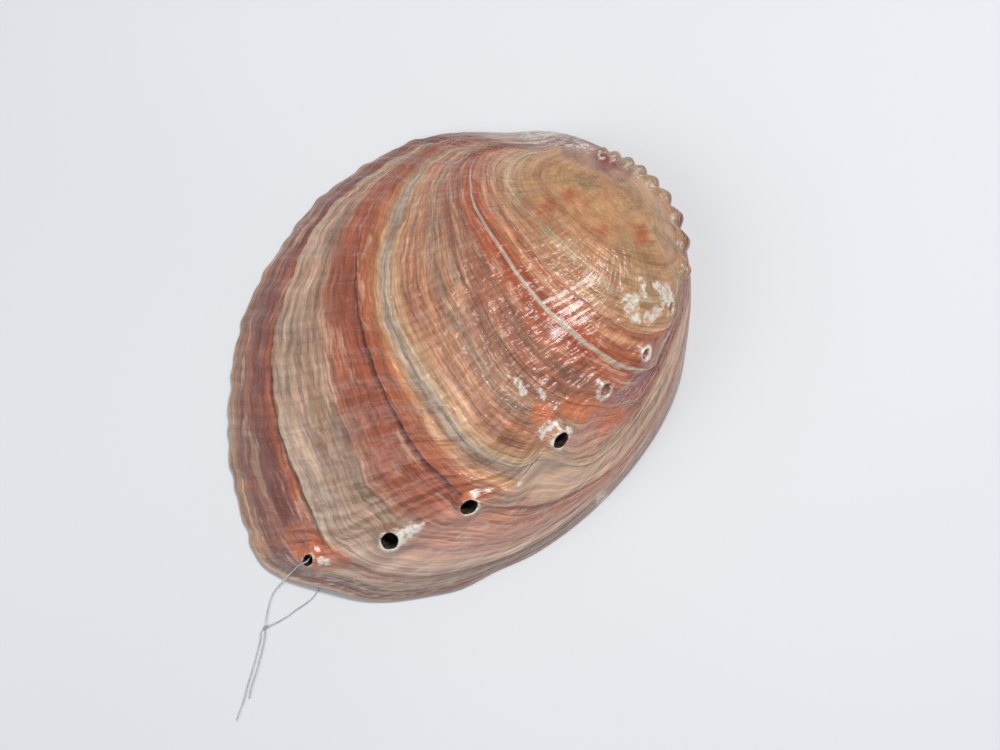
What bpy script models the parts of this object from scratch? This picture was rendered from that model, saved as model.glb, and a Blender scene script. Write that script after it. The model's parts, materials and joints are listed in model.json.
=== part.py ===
"""A red abalone shell lying mouth down, with the fine thread tied through its newest hole.

Metres, +Z up, resting on Z = 0. X runs along the shell's length, from the front margin (-X) to
the spire (+X), and the row of holes follows the -Y side. The shell is one grown piece: a dome
whose surface is a net of growth lines (closed rings around the tip of the spire) and of spiral
lines that cross them, with the row of holes on one of those.
"""
import math

import bpy
import numpy as np

# Driving dimensions
SHELL_LENGTH = 0.1623
SHELL_HEIGHT = 0.046
WALL_THICKNESS = 0.0026
LIP_THICKNESS = 0.0011
LIP_WIDTH = 0.0021
SHELF_WIDTH = 0.0085
BACK_RIM_WIDTH = 0.0026
THREAD_DIAMETER = 0.00045
THREAD_STEP = 3 * THREAD_DIAMETER
KNOT_SIZE = np.array((0.0016, 0.0012, 0.0011))

# The photograph's frame: traced lines below are in its pixels, and this turns them into metres
PHOTO_SHELL_LENGTH_PX = 541.0
PHOTO_CENTRE_PX = (500.0, 375.0)
VIEW_DISTANCE = 0.62
VIEW_ELEVATION = math.radians(76)
LENGTH_AXIS_ANGLE = math.radians(41.4)
METRES_PER_PX = SHELL_LENGTH / PHOTO_SHELL_LENGTH_PX
FOCAL_PX = VIEW_DISTANCE / METRES_PER_PX

# A growth line starts at the lip's upper end, runs over the crown to the row of holes, then down
# the wall to the spire's side, and closes hidden behind the spire. These are the rays from the
# spire's tip where it starts and where its hidden part begins, and its stations along the way.
START_RAY = math.radians(148)
BACK_RAY = math.radians(334)
LAST_RIDGE_RAY = math.radians(297)
RIDGE_V = 0.60
BACK_V = 0.82

# The spire's own rings, as shares of the first traced line's size
SPIRE_RINGS = (0.0, 0.25, 0.5, 0.75)
LINE_STEP = 0.15

# How far inside the margin the innermost traced line closes: hidden behind the spire, and at the lip
HIDDEN_INSET = 0.13
START_INSET = 0.30
INSET_EASE = 1.5

# Growth lines, innermost first: how far out it lies, its crown from the lip to the row of holes,
# and its wall below the row
SPIRE_TIP_PX = (612, 180)
DOME_TOP_PX = (545, 315)
GROWTH_LINES = (
    ("tan_2", 0.15,
     [(560, 154), (543, 162), (537, 175), (543, 191), (561, 209), (581, 228), (606, 247), (627, 259),
      (650, 266), (670, 268), (682, 262)], []),
    ("tan_1", 0.213,
     [(550, 151), (522, 156), (508, 168), (508, 186), (520, 204), (540, 222), (556, 240), (578, 260),
      (597, 277), (620, 291), (648, 300), (673, 300)], []),
    ("spire_edge", 0.273,
     [(545, 149), (510, 152), (494, 162), (491, 180), (499, 203), (512, 223), (530, 245), (548, 267),
      (582, 299), (610, 318), (638, 331), (660, 331)], [(676, 318)]),
    ("pale_line", 0.342,
     [(540, 147), (500, 149), (480, 154), (472, 165), (470, 182), (474, 205), (485, 225), (500, 248),
      (523, 282), (540, 303), (570, 331), (605, 357), (625, 368), (637, 370)], [(658, 363), (675, 338)]),
    ("brick", 0.435,
     [(540, 145), (500, 147), (475, 153), (460, 163), (450, 180), (449, 205), (455, 233), (465, 270),
      (480, 300), (500, 340), (520, 366), (545, 389), (568, 401), (580, 404), (592, 403)],
     [(610, 407), (630, 403), (650, 390), (671, 360)]),
    ("grey_green", 0.633,
     [(540, 143), (500, 144), (470, 146), (450, 151), (430, 163), (412, 185), (398, 220), (388, 250),
      (385, 285), (390, 317), (404, 350), (430, 393), (450, 422), (470, 446), (500, 463), (525, 466),
      (541, 455)],
     [(575, 468), (605, 452), (633, 421), (656, 385), (676, 340)]),
    ("rest_2", 0.696,
     [(540, 141), (500, 142), (470, 143), (440, 148), (415, 163), (390, 183), (370, 215), (360, 255),
      (358, 285), (361, 315), (370, 350), (385, 390), (400, 420), (420, 452), (445, 477), (465, 492),
      (483, 498)],
     [(505, 506), (540, 503), (580, 487), (615, 463), (645, 425), (668, 384), (682, 338)]),
    ("rest_1", 0.881,
     [(540, 138), (500, 139), (470, 139), (440, 142), (420, 147), (400, 157), (365, 180), (335, 206),
      (312, 237), (293, 280), (278, 322), (274, 350), (276, 395), (284, 440), (300, 480), (318, 522),
      (334, 549), (348, 554)],
     [(375, 569), (410, 574), (445, 572), (485, 562), (525, 546), (565, 522), (600, 493), (637, 452),
      (664, 407), (682, 355)]),
    ("margin", 1.0,
     [(545, 133), (508, 134), (460, 135), (420, 141), (380, 158), (345, 180), (315, 204), (290, 236),
      (270, 265), (254, 294), (243, 322), (236, 350), (232, 385), (230, 420), (231, 460), (238, 497),
      (246, 525), (253, 548), (264, 566)],
     [(283, 577), (310, 587), (340, 594), (375, 601), (420, 598), (460, 589), (500, 570), (540, 550),
      (580, 522), (610, 494), (640, 459), (665, 420), (679, 386), (686, 345), (689, 305)]),
)
HIDDEN_MARGIN_PX = [(689, 305), (688, 282), (683, 257), (674, 233), (661, 210), (646, 191), (628, 174),
                    (610, 160), (592, 149), (570, 139), (545, 134)]

# How close to the margin the traced outline takes over from the dome's own
MARGIN_HOLD = 8

# How rounded the dome is at its very top, as a share of the way to the margin
TOP_SOFTNESS = 0.18

# The dome's two exponents in each direction from its top, in degrees of the photograph's frame
DOME_SIDES = ((-175, 1.75, 1.0), (-140, 1.8, 1.0), (-105, 2.3, 0.95), (-70, 2.5, 0.9), (-35, 2.5, 0.8),
              (-5, 2.6, 0.6), (25, 2.6, 0.42), (55, 2.4, 0.38), (80, 2.1, 0.6), (105, 2.0, 0.95),
              (140, 1.85, 1.0))

# Lines where growth rested: how far out, rise, and the widths inside and outside the line
REST_LINES = ((0.273, 0.0003, 0.02, 0.008), (0.342, 0.0004, 0.015, 0.008), (0.435, 0.0003, 0.02, 0.01),
              (0.633, 0.0004, 0.02, 0.012), (0.696, 0.0010, 0.03, 0.012), (0.881, 0.0010, 0.03, 0.014))
REST_HOLLOW = 0.45
WAVE_COUNT = 16
WAVE_HEIGHT = 0.00030

# Share of the steps and of the waves at stations around a growth line
STEP_FADE = ((0, 0.0), (0.06, 0.1), (0.14, 0.45), (0.24, 1.0), (RIDGE_V, 1.0), (0.70, 0.65),
             (0.77, 0.25), (0.84, 0.0), (1.0, 0.0))
WAVE_FADE = ((0, 0.0), (0.06, 1.0), (0.55, 1.0), (0.64, 0.3), (BACK_V, 0.0), (1.0, 0.0))
FULL_RELIEF_OUT = 0.65
MARGIN_FADE = 0.03
RIDGE_HEIGHT = 0.0014
RIDGE_WIDTH = 0.0050

# The shallow groove below the row of holes, and how long a growth line's stretch below the row is
# where the ridge and the groove begin and where they are whole, and how far out the groove runs out
GROOVE_DEPTH = 0.0009
GROOVE_OFFSET = 0.0085
GROOVE_WIDTH = 0.0040
WALL_LENGTHS = (0.010, 0.040)
GROOVE_END = (0.75, 0.97)

# The row of holes, newest first: name, open or grown shut, where its mouth shows, the swelling's
# rise and width, the mouth's height over the bare dome, its long and short diameters and long way
HOLES = (
    ("hole_1", True, (308, 560), 0.0010, 0.0042, 0.0023, 0.0042, 0.0029, 62),
    ("hole_2", True, (390, 541), 0.0013, 0.0058, 0.0028, 0.0058, 0.0051, 50),
    ("hole_3", True, (469, 507), 0.0013, 0.0055, 0.0028, 0.0057, 0.0042, 48),
    ("hole_4", True, (561, 440), 0.0024, 0.0055, 0.0037, 0.0054, 0.0037, 60),
    ("hole_5", False, (606, 390), 0.0012, 0.0045, 0.0023, 0.0042, 0.0031, 60),
    ("hole_6", False, (646, 354), 0.0011, 0.0040, 0.0019, 0.0036, 0.0027, 65),
    ("hole_7", False, (671, 308), 0.0010, 0.0036, 0.0015, 0.0036, 0.0024, 80),
)
HOLE_SIDES = 12
HOLE_DEPTH = 0.0100
COLLAR_DEPTH = 0.0018
COLLAR_WIDTH = 0.0005
COLLAR_FLARE = 0.0013
MOUTH_CLEARANCE = 0.002
BORE_FLARE = 1.25
BORE_WAIST = 0.92
PIT_DEPTH = 0.0011
PIT_FLOOR = 0.7

# Knobs on the spire's edge where still older holes grew shut: where the middle shows, its height
# over the surface that the shell rests on, and the knob's diameter
NODULES = (
    ((682, 270), 0.024, 0.0036), ((681, 243), 0.022, 0.0038), ((675, 219), 0.020, 0.0038),
    ((663, 199), 0.020, 0.0038), ((651, 184), 0.020, 0.0036), ((639, 173), 0.019, 0.0035),
    ((627, 165), 0.019, 0.0034), ((614, 159), 0.0205, 0.0034), ((602, 155), 0.021, 0.0032),
)

# The thread. Both strands start in the newest hole, at these heights along its axis, and go to a
# knot on the surface, one over the lip and one under it. Two loose ends lie beyond the knot.
# Each point after the axis is a pixel and the height of the thread's middle.
OVER_AXIS = (0.0014, 0.0031)
STRAND_OVER = (((299.3, 565.2), 0.0089), ((295, 569), 0.0066), ((291, 573), 0.0046), ((287, 577), 0.0031),
               ((283, 581), 0.0021), ((277.5, 587), 0.0010), ((273, 594), 0.0004), ((269.5, 604), 0.0003),
               ((267, 615), 0.0003), ((266, 623), 0.0004))
UNDER_AXIS = (0.0003, -0.0014)
STRAND_UNDER = (((313, 572), 0.0030), ((315.5, 578), 0.0018), ((317, 585), 0.0009), ((317, 591), 0.00036),
                ((313, 597.5), 0.0003), ((305, 604), 0.0003), ((296, 610), 0.0003), ((286.6, 617), 0.0003),
                ((277, 622.5), 0.0003), ((270, 625.7), 0.0004))
KNOT = ((265.5, 627.5), 0.0006)
TAIL_SHORT = (((265.5, 632), 0.0004), ((264.5, 640), 0.0003), ((262, 652), 0.0003), ((258.5, 665), 0.0003),
              ((254.5, 678), 0.0003), ((251, 689), 0.0003), ((249.5, 698), 0.0003))
TAIL_LONG = (((262, 631), 0.0004), ((260.5, 640), 0.0003), ((257.5, 652), 0.0003), ((254, 665), 0.0003),
             ((250, 678), 0.0003), ((246, 692), 0.0003), ((243, 703), 0.0003), ((239, 713), 0.0003),
             ((237, 720), 0.0003))

# Stretches of the margin that stand off the surface: ray from the spire's tip, rise, half width
MARGIN_LIFTS = ((234.0, 0.0016, 7.0), (152.0, 0.0012, 16.0), (209.0, 0.0007, 9.0))

# The flat shelf inside the spire's side of the margin, which the shell rests on: the rays from the
# spire's tip where it begins and ends, over how many degrees it widens, and its thickness
SHELF_RAYS = (241.0, 352.0)
SHELF_EASE = 18.0
SHELF_THICKNESS = 0.0028
SHELF_EDGE_SHARE = 0.8
INNER_LIP_HEIGHT = 0.0004
LIP_FLAT_SHARES = (0.70, 0.85)
EDGE_INSET = 0.0003

# Net of the solid: rows from the spire's tip to the margin, and stations around
OUTER_ROWS = np.array([0, 0.03, 0.07, 0.11, 0.15, 0.19, 0.232, 0.268, 0.28, 0.31, 0.338, 0.35, 0.39, 0.432,
                       0.448, 0.49, 0.54, 0.585, 0.63, 0.645, 0.694, 0.709, 0.75, 0.80, 0.84, 0.878,
                       0.895, 0.945, 1.0])
INNER_ROWS = np.array([0, 0.18, 0.36, 0.53, 0.68, 0.80, 0.89, 0.95, 1.0])
CROWN_STATIONS, WALL_STATIONS, BACK_STATIONS = 45, 20, 13
STATIONS = np.concatenate([np.linspace(0, RIDGE_V, CROWN_STATIONS, endpoint=False),
                           np.linspace(RIDGE_V, BACK_V, WALL_STATIONS, endpoint=False),
                           np.linspace(BACK_V, 1.0, BACK_STATIONS, endpoint=False)])

# Fineness of the shapes worked out on the way, and the steps of the two fitting loops
RAY_COUNT = 721
LOOP_POINTS = 1500
PATH_POINTS = 300
MARGIN_POINTS = 240
SETTLE_STEPS, SETTLE_SHARE = 80, 0.4
PLACE_STEPS = 8
PROBE = 0.002
SHARE_PROBE = 0.012
KNOB_RINGS, KNOB_SIDES = 6, 8
SMOOTH_ANGLE = math.radians(50)


def unproject(px, height):
    """Photograph pixels to plan metres, for points at a given height over the surface."""
    px = np.asarray(px, float)
    height = np.asarray(height, float)
    across = (px[..., 0] - PHOTO_CENTRE_PX[0]) / FOCAL_PX
    up = (PHOTO_CENTRE_PX[1] - px[..., 1]) / FOCAL_PX
    sin_e, cos_e = math.sin(VIEW_ELEVATION), math.cos(VIEW_ELEVATION)
    y = (up * VIEW_DISTANCE - height * (cos_e + up * sin_e)) / (sin_e - up * cos_e)
    depth = VIEW_DISTANCE + y * cos_e - height * sin_e
    return np.stack([across * depth, y], -1)


def project(point):
    """Photograph pixel where a point in plan metres with a height shows."""
    sin_e, cos_e = math.sin(VIEW_ELEVATION), math.cos(VIEW_ELEVATION)
    depth = VIEW_DISTANCE + point[1] * cos_e - point[2] * sin_e
    up = (point[1] * sin_e + point[2] * cos_e) / depth
    return np.array([PHOTO_CENTRE_PX[0] + FOCAL_PX * point[0] / depth, PHOTO_CENTRE_PX[1] - FOCAL_PX * up])


def hermite(t, values, slopes, query):
    """Cubic pieces through values at t with the given slopes."""
    k = np.clip(np.searchsorted(t, query, side="right") - 1, 0, len(t) - 2)
    h = t[k + 1] - t[k]
    s = (query - t[k]) / h
    s2, s3 = s * s, s * s * s
    if values.ndim > 1:
        shape = (-1,) + (1,) * (values.ndim - 1)
        h, s, s2, s3 = (a.reshape(shape) for a in (h, s, s2, s3))
    return (values[k] * (2 * s3 - 3 * s2 + 1) + slopes[k] * h * (s3 - 2 * s2 + s)
            + values[k + 1] * (3 * s2 - 2 * s3) + slopes[k + 1] * h * (s3 - s2))


def smooth_curve(t, values, query):
    """A smooth curve through values at t, with free ends."""
    t, values, query = np.asarray(t, float), np.asarray(values, float), np.asarray(query, float)
    steps = np.diff(t).reshape((-1,) + (1,) * (values.ndim - 1))
    rates = np.diff(values, axis=0) / steps
    slopes = np.empty_like(values)
    slopes[1:-1] = (rates[:-1] * steps[1:] + rates[1:] * steps[:-1]) / (steps[1:] + steps[:-1])
    slopes[0], slopes[-1] = rates[0], rates[-1]
    return hermite(t, values, slopes, query)


def monotone(t, values, query):
    """A smooth curve through values at t that never passes beyond its neighbouring values."""
    t, values, query = np.asarray(t, float), np.asarray(values, float), np.asarray(query, float)
    steps = np.diff(t).reshape((-1,) + (1,) * (values.ndim - 1))
    rates = np.diff(values, axis=0) / steps
    first, second = 2 * steps[1:] + steps[:-1], steps[1:] + 2 * steps[:-1]
    same_way = rates[:-1] * rates[1:] > 0
    before, after = np.where(same_way, rates[:-1], 1), np.where(same_way, rates[1:], 1)
    slopes = np.empty_like(values)
    slopes[1:-1] = np.where(same_way, (first + second) / (first / before + second / after), 0)
    slopes[0], slopes[-1] = rates[0], rates[-1]
    return hermite(t, values, slopes, query)


def smooth_loop(t, values, query, period):
    """A smooth closed curve through values at t."""
    t, values = np.asarray(t, float), np.asarray(values, float)
    order = np.argsort(t)
    t, values = t[order], values[order]
    t_long = np.concatenate([t[-3:] - period, t, t[:3] + period])
    v_long = np.concatenate([values[-3:], values, values[:3]])
    query = (np.asarray(query, float) - t[0]) % period + t[0]
    return smooth_curve(t_long, v_long, query)


def polar(points, centre):
    d = points - centre
    return np.arctan2(d[..., 1], d[..., 0]), np.hypot(d[..., 0], d[..., 1])


DOME_TOP = unproject(DOME_TOP_PX, SHELL_HEIGHT)
MARGIN_PLAN = unproject(GROWTH_LINES[-1][2] + GROWTH_LINES[-1][3] + HIDDEN_MARGIN_PX[1:-1], 0.0)
MARGIN_ANGLE, MARGIN_RADIUS = polar(MARGIN_PLAN, DOME_TOP)


def reach(plan):
    """How far out a plan point lies, 0 at the dome's top and 1 at the margin, and its direction."""
    angle, radius = polar(plan, DOME_TOP)
    edge = smooth_loop(MARGIN_ANGLE, MARGIN_RADIUS, angle.ravel(), 2 * math.pi).reshape(angle.shape)
    return np.clip(radius / edge, 0, 1), angle, edge


def dome_fall(share, angle):
    """1 at the dome's top and 0 at its margin, with each side's own fullness."""
    sides = np.array(DOME_SIDES, float)
    side_angle = np.radians(sides[:, 0])
    full = smooth_loop(side_angle, sides[:, 1], angle.ravel(), 2 * math.pi).reshape(angle.shape)
    steep = smooth_loop(side_angle, sides[:, 2], angle.ravel(), 2 * math.pi).reshape(angle.shape)
    soft = (share * share + TOP_SOFTNESS ** 2) ** (full / 2) - TOP_SOFTNESS ** full
    soft /= (1 + TOP_SOFTNESS ** 2) ** (full / 2) - TOP_SOFTNESS ** full
    return np.clip(1 - soft, 0, 1) ** steep


def dome_height(plan):
    share, angle, _ = reach(plan)
    return (SHELL_HEIGHT - LIP_THICKNESS) * dome_fall(share, angle) + LIP_THICKNESS


def settle(px):
    """Plan places of traced pixels that lie on the dome."""
    px = np.asarray(px, float)
    height = np.zeros(px.shape[:-1])
    for _ in range(SETTLE_STEPS):
        height += SETTLE_SHARE * (dome_height(unproject(px, height)) - height)
    return unproject(px, height)


MODEL_ANGLES = np.linspace(START_RAY, START_RAY + 2 * math.pi, RAY_COUNT)


def closed_ring(px_crown, px_wall, rim_inset, tip, margin_back):
    """A growth line as its distance from the spire's tip along MODEL_ANGLES, and its hole-row ray."""
    if rim_inset == 0:
        front = unproject(px_crown + px_wall[:-1], 0.0)
    else:
        front = settle(px_crown + px_wall)
    ease = np.linspace(0, 1, len(margin_back))[:, None] ** INSET_EASE
    back = tip + (margin_back - tip) * (1 - rim_inset * (HIDDEN_INSET + (START_INSET - HIDDEN_INSET) * ease))
    loop = np.concatenate([front, back, front[:1]])
    chord = np.concatenate([[0], np.cumsum(np.linalg.norm(np.diff(loop, axis=0), axis=1))])
    fine = smooth_loop(chord[:-1], loop[:-1], np.linspace(0, chord[-1], LOOP_POINTS), chord[-1])
    angle, radius = polar(fine, tip)
    angle = (angle - START_RAY) % (2 * math.pi) + START_RAY
    order = np.argsort(angle)
    radius = np.interp(MODEL_ANGLES, angle[order], radius[order], period=2 * math.pi)
    ridge_angle, _ = polar(front[len(px_crown) - 1], tip)
    ridge_angle = (ridge_angle - START_RAY) % (2 * math.pi) + START_RAY
    return radius, min(ridge_angle, LAST_RIDGE_RAY)


def station_angles(radius, ridge_ray, stations):
    """The rays of the stations of one growth line, even along each of its stretches."""
    x, y = radius * np.cos(MODEL_ANGLES), radius * np.sin(MODEL_ANGLES)
    length = np.concatenate([[0], np.cumsum(np.hypot(np.diff(x), np.diff(y)))])
    ends_v = np.array([0, RIDGE_V, BACK_V, 1.0])
    ends = np.interp([START_RAY, ridge_ray, BACK_RAY, MODEL_ANGLES[-1]], MODEL_ANGLES, length)
    return np.interp(np.interp(stations, ends_v, ends), length, MODEL_ANGLES)


def growth_rings():
    """All growth lines from the spire's tip out: how far out, distances, and hole-row rays."""
    tip = settle(SPIRE_TIP_PX)
    margin_back = unproject(HIDDEN_MARGIN_PX, 0.0)[:-1]
    outs, radii, ridges = [], [], []
    for _, out, crown, wall in GROWTH_LINES:
        rim_inset = (1 - out) / (1 - GROWTH_LINES[0][1])
        radius, ridge = closed_ring(crown, wall, rim_inset, tip, margin_back)
        outs.append(out)
        radii.append(radius)
        ridges.append(ridge)
    for k in range(len(radii) - 2, -1, -1):
        step = LINE_STEP * (outs[k + 1] - outs[k]) / outs[k + 1]
        radii[k] = np.minimum(radii[k], radii[k + 1] * (1 - step))
    outs = [outs[0] * share for share in SPIRE_RINGS] + outs
    radii = [radii[0] * share for share in SPIRE_RINGS] + radii
    return tip, np.array(outs), np.array(radii), np.array(ridges)


TIP, RING_OUT, RING_RADIUS, RING_RIDGE = growth_rings()
TRACED = len(SPIRE_RINGS)


def net_plan(out, v):
    """Plan places of a net: rows at shares out of the way to the margin, columns at stations v."""
    v = np.asarray(v, float)
    angles = np.array([station_angles(r, a, v) for r, a in zip(RING_RADIUS[TRACED:], RING_RIDGE)])
    angles = monotone(RING_OUT[TRACED:], angles, np.maximum(out, RING_OUT[TRACED]))
    radius = monotone(RING_OUT, RING_RADIUS, out)
    radius = np.array([np.interp(a, MODEL_ANGLES, r) for a, r in zip(angles, radius)])
    return TIP + radius[..., None] * np.stack([np.cos(angles), np.sin(angles)], -1)


def net_surface(out, v):
    """Plan places of a net, with how far out on the dome each lies, which way, and its edge there."""
    plan = net_plan(out, v)
    share, angle, edge = reach(plan)
    edge_share = reach(net_plan(np.array([1.0]), v))[0]
    fit = 1 + (edge_share - 1) * out[:, None] ** MARGIN_HOLD
    return plan, np.minimum(share / fit, 1), angle, edge


def outward(plan, share, angle, edge):
    """Outward directions of the bare dome."""
    inner, outer = np.clip(share - SHARE_PROBE, 0, 1), np.clip(share + SHARE_PROBE, 0, 0.999)
    drop = (dome_fall(inner, angle) - dome_fall(outer, angle)) * (SHELL_HEIGHT - LIP_THICKNESS)
    slope = drop / np.maximum((outer - inner) * edge, 1e-6)
    radial = (plan - DOME_TOP) / np.maximum(np.linalg.norm(plan - DOME_TOP, axis=-1, keepdims=True), 1e-9)
    n = np.concatenate([radial * slope[..., None], np.ones_like(slope)[..., None]], -1)
    return n / np.linalg.norm(n, axis=-1, keepdims=True)


def bump(distance, width):
    return np.exp(-(distance / width) ** 2)


def growth_steps(out):
    """Where the shell paused in growing: each line stands up and drops to the next layer."""
    height = np.zeros_like(out)
    for line, rise, inner_width, outer_width in REST_LINES:
        inside = out <= line
        height += rise * np.where(inside, bump(line - out, inner_width), 0)
        height -= REST_HOLLOW * rise * np.where(inside, 0, bump(out - line - outer_width, 2 * outer_width))
    return height


def ridge_distance(plan, v):
    """Way along each growth line from the row of holes, positive on the crown, and its wall's length."""
    step = np.linalg.norm(np.roll(plan, -1, axis=1) - plan, axis=-1)
    way = np.concatenate([np.zeros((len(plan), 1)), np.cumsum(step, axis=1)[:, :-1]], axis=1)
    at_ridge = np.array([np.interp(RIDGE_V, v, row) for row in way])
    at_back = np.array([np.interp(BACK_V, v, row) for row in way])
    return at_ridge[:, None] - way, (at_back - at_ridge)[:, None]


def dome_normal(plan):
    """Outward direction of the bare dome at one plan place."""
    z = dome_height(plan)
    slope = [(dome_height(plan + d) - z) / PROBE for d in np.eye(2) * PROBE]
    normal = np.array([-slope[0], -slope[1], 1.0])
    return normal / np.linalg.norm(normal)


def hole_place(px, stand):
    """The plan place whose raised mouth shows at a pixel."""
    base_px = np.array(px, float)
    for _ in range(PLACE_STEPS):
        plan = settle(base_px)
        mouth = np.append(plan, dome_height(plan)) + dome_normal(plan) * stand
        base_px += np.array(px) - project(mouth)
    return plan


HOLE_PLACES = [hole_place(hole[2], hole[5]) for hole in HOLES]


def relief(plan, out, v):
    """Heights of the surface's forms over the bare dome."""
    rows = np.repeat(out[:, None], len(v), axis=1)
    way, wall = ridge_distance(plan, v)
    grown = np.clip((rows - RING_OUT[TRACED]) / (FULL_RELIEF_OUT - RING_OUT[TRACED]), 0, 1)
    wall_share = np.clip((wall - WALL_LENGTHS[0]) / (WALL_LENGTHS[1] - WALL_LENGTHS[0]), 0, 1)
    step_share = np.interp(v, *np.array(STEP_FADE).T)
    wave_share = np.interp(v, *np.array(WAVE_FADE).T)
    height = growth_steps(rows) * step_share
    height += WAVE_HEIGHT * np.cos(2 * math.pi * WAVE_COUNT * v / RIDGE_V) * wave_share * grown
    height += RIDGE_HEIGHT * bump(way, RIDGE_WIDTH) * np.sqrt(grown) * wall_share
    groove_share = np.clip((GROOVE_END[1] - rows) / (GROOVE_END[1] - GROOVE_END[0]), 0, 1) * wall_share ** 2
    height -= GROOVE_DEPTH * bump(way + GROOVE_OFFSET, GROOVE_WIDTH) * grown * groove_share
    for hole, place in zip(HOLES, HOLE_PLACES):
        height += hole[3] * bump(np.linalg.norm(plan - place, axis=-1), hole[4])
    return height


def margin_lift(angle):
    """How far the margin stands off the surface it rests on, by its ray from the spire's tip."""
    lift = np.zeros_like(angle)
    for ray, rise, half in MARGIN_LIFTS:
        off = np.abs((angle - math.radians(ray) + math.pi) % (2 * math.pi) - math.pi)
        lift += rise * (0.5 + 0.5 * np.cos(np.clip(off / math.radians(half), 0, 1) * math.pi))
    return lift


def margin_setup(v):
    """The margin's lift and the shelf's share at each station."""
    angle, _ = polar(net_plan(np.array([1.0]), v)[0], TIP)
    lift = margin_lift(angle)
    ray = (angle - START_RAY) % (2 * math.pi) + START_RAY
    start, end = (math.radians(a) for a in SHELF_RAYS)
    ease = math.radians(SHELF_EASE)
    shelf = np.clip((ray - start) / ease, 0, 1) * np.clip((end - ray) / ease, 0, 1)
    shelf = shelf * shelf * (3 - 2 * shelf)
    return lift, shelf


def outer_skin(out, v):
    """Points of the outside: the dome with its relief, which fades at the margin."""
    plan, share, angle, edge = net_surface(out, v)
    lift, _ = margin_setup(v)
    base = LIP_THICKNESS + lift[None]
    z = base + (SHELL_HEIGHT - LIP_THICKNESS - lift[None]) * dome_fall(share, angle)
    points = np.concatenate([plan, z[..., None]], -1)
    n = outward(plan, share, angle, edge)
    fade = np.clip((1 - out) / MARGIN_FADE, 0, 1)[:, None]
    return points + n * (relief(plan, out, v) * fade)[..., None]


def inner_skin(shares, v):
    """Points of the inside: rings around the dome's top, out to the lip's or the shelf's start."""
    margin = net_plan(np.array([1.0]), v)[0]
    lift, shelf = margin_setup(v)
    wall = LIP_WIDTH + (BACK_RIM_WIDTH - LIP_WIDTH) * shelf
    low = lift + INNER_LIP_HEIGHT + (SHELF_THICKNESS - INNER_LIP_HEIGHT) * shelf
    angle, edge = polar(margin, DOME_TOP)
    ways = (margin - DOME_TOP) * (1 - wall / edge)[:, None]
    plan = DOME_TOP + shares[:, None, None] * ways
    fall = dome_fall(*np.broadcast_arrays(shares[:, None], angle[None]))
    z = low[None] + (SHELL_HEIGHT - WALL_THICKNESS - low[None]) * fall
    return np.concatenate([plan, z[..., None]], -1)


def rim_rings(v):
    """The underside's rings: the shelf's inner edge above and below, and the outer edge."""
    plan, _, _, edge = net_surface(np.array([1.0]), v)
    lift, shelf = margin_setup(v)
    wall = LIP_WIDTH + (BACK_RIM_WIDTH - LIP_WIDTH) * shelf
    flat_share, edge_share = LIP_FLAT_SHARES
    low = wall * (1 - shelf) * flat_share + (wall + SHELF_WIDTH) * shelf
    high = wall * (1 - shelf) * edge_share + (wall + SHELF_WIDTH) * shelf
    edge_height = INNER_LIP_HEIGHT / 2 + (SHELF_THICKNESS - INNER_LIP_HEIGHT) * shelf * SHELF_EDGE_SHARE

    def ring(inward, z):
        flat = DOME_TOP + (plan[0] - DOME_TOP) * (1 - inward / edge[0])[:, None]
        return np.concatenate([flat, z[:, None]], -1)

    return [ring(high, lift + edge_height), ring(low, lift), ring(np.full(len(v), EDGE_INSET), lift)]


def to_model(points):
    """Photograph plan to the part's own frame: length along X, its middle at the origin."""
    points = np.asarray(points, float)
    c, sn = math.cos(LENGTH_AXIS_ANGLE), math.sin(LENGTH_AXIS_ANGLE)
    x = points[..., 0] * c + points[..., 1] * sn - MODEL_CENTRE[0]
    y = -points[..., 0] * sn + points[..., 1] * c - MODEL_CENTRE[1]
    return np.stack([x, y, points[..., 2]], -1)


def model_centre():
    """The middle of the margin's length and width, seen along the shell's own axes."""
    plan = net_plan(np.array([1.0]), np.linspace(0, 1, MARGIN_POINTS, endpoint=False))[0]
    c, sn = math.cos(LENGTH_AXIS_ANGLE), math.sin(LENGTH_AXIS_ANGLE)
    x = plan[:, 0] * c + plan[:, 1] * sn
    y = -plan[:, 0] * sn + plan[:, 1] * c
    return (x.min() + x.max()) / 2, (y.min() + y.max()) / 2


MODEL_CENTRE = model_centre()


def material(name, colour, roughness):
    mat = bpy.data.materials.new(name)
    mat.use_nodes = True
    shader = mat.node_tree.nodes["Principled BSDF"]
    shader.inputs["Base Color"].default_value = (*colour, 1)
    shader.inputs["Roughness"].default_value = roughness
    return mat


def add_object(name, verts, faces, mat=None):
    mesh = bpy.data.meshes.new(name)
    mesh.from_pydata([tuple(p) for p in verts], [], faces)
    mesh.validate()
    if mat:
        mesh.materials.append(mat)
        mesh.shade_smooth()
        mesh.set_sharp_from_angle(angle=SMOOTH_ANGLE)
    obj = bpy.data.objects.new(name, mesh)
    bpy.context.collection.objects.link(obj)
    return obj


def ring_faces(rings, sides):
    """Faces of a closed form: vertex 0 and 1 are its two poles, and rings of vertices lie between."""
    faces = []
    last = 2 + (rings - 1) * sides
    for side in range(sides):
        after = (side + 1) % sides
        faces.append((0, 2 + side, 2 + after))
        faces.append((1, last + after, last + side))
        for a in range(2, last, sides):
            faces.append((a + side, a + sides + side, a + sides + after, a + after))
    return faces


def shell_mesh():
    """The whole shell before its holes: outside, underside and inside in one closed mesh."""
    outside = outer_skin(OUTER_ROWS, STATIONS)
    inside = inner_skin(INNER_ROWS, STATIONS)
    edge_high, edge_low, outer_edge = rim_rings(STATIONS)
    rings = [*outside[1:], outer_edge, edge_low, edge_high, *inside[:0:-1]]
    verts = np.concatenate([outside[0, :1], inside[0, :1], *rings])
    return to_model(verts), ring_faces(len(rings), len(STATIONS))


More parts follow.
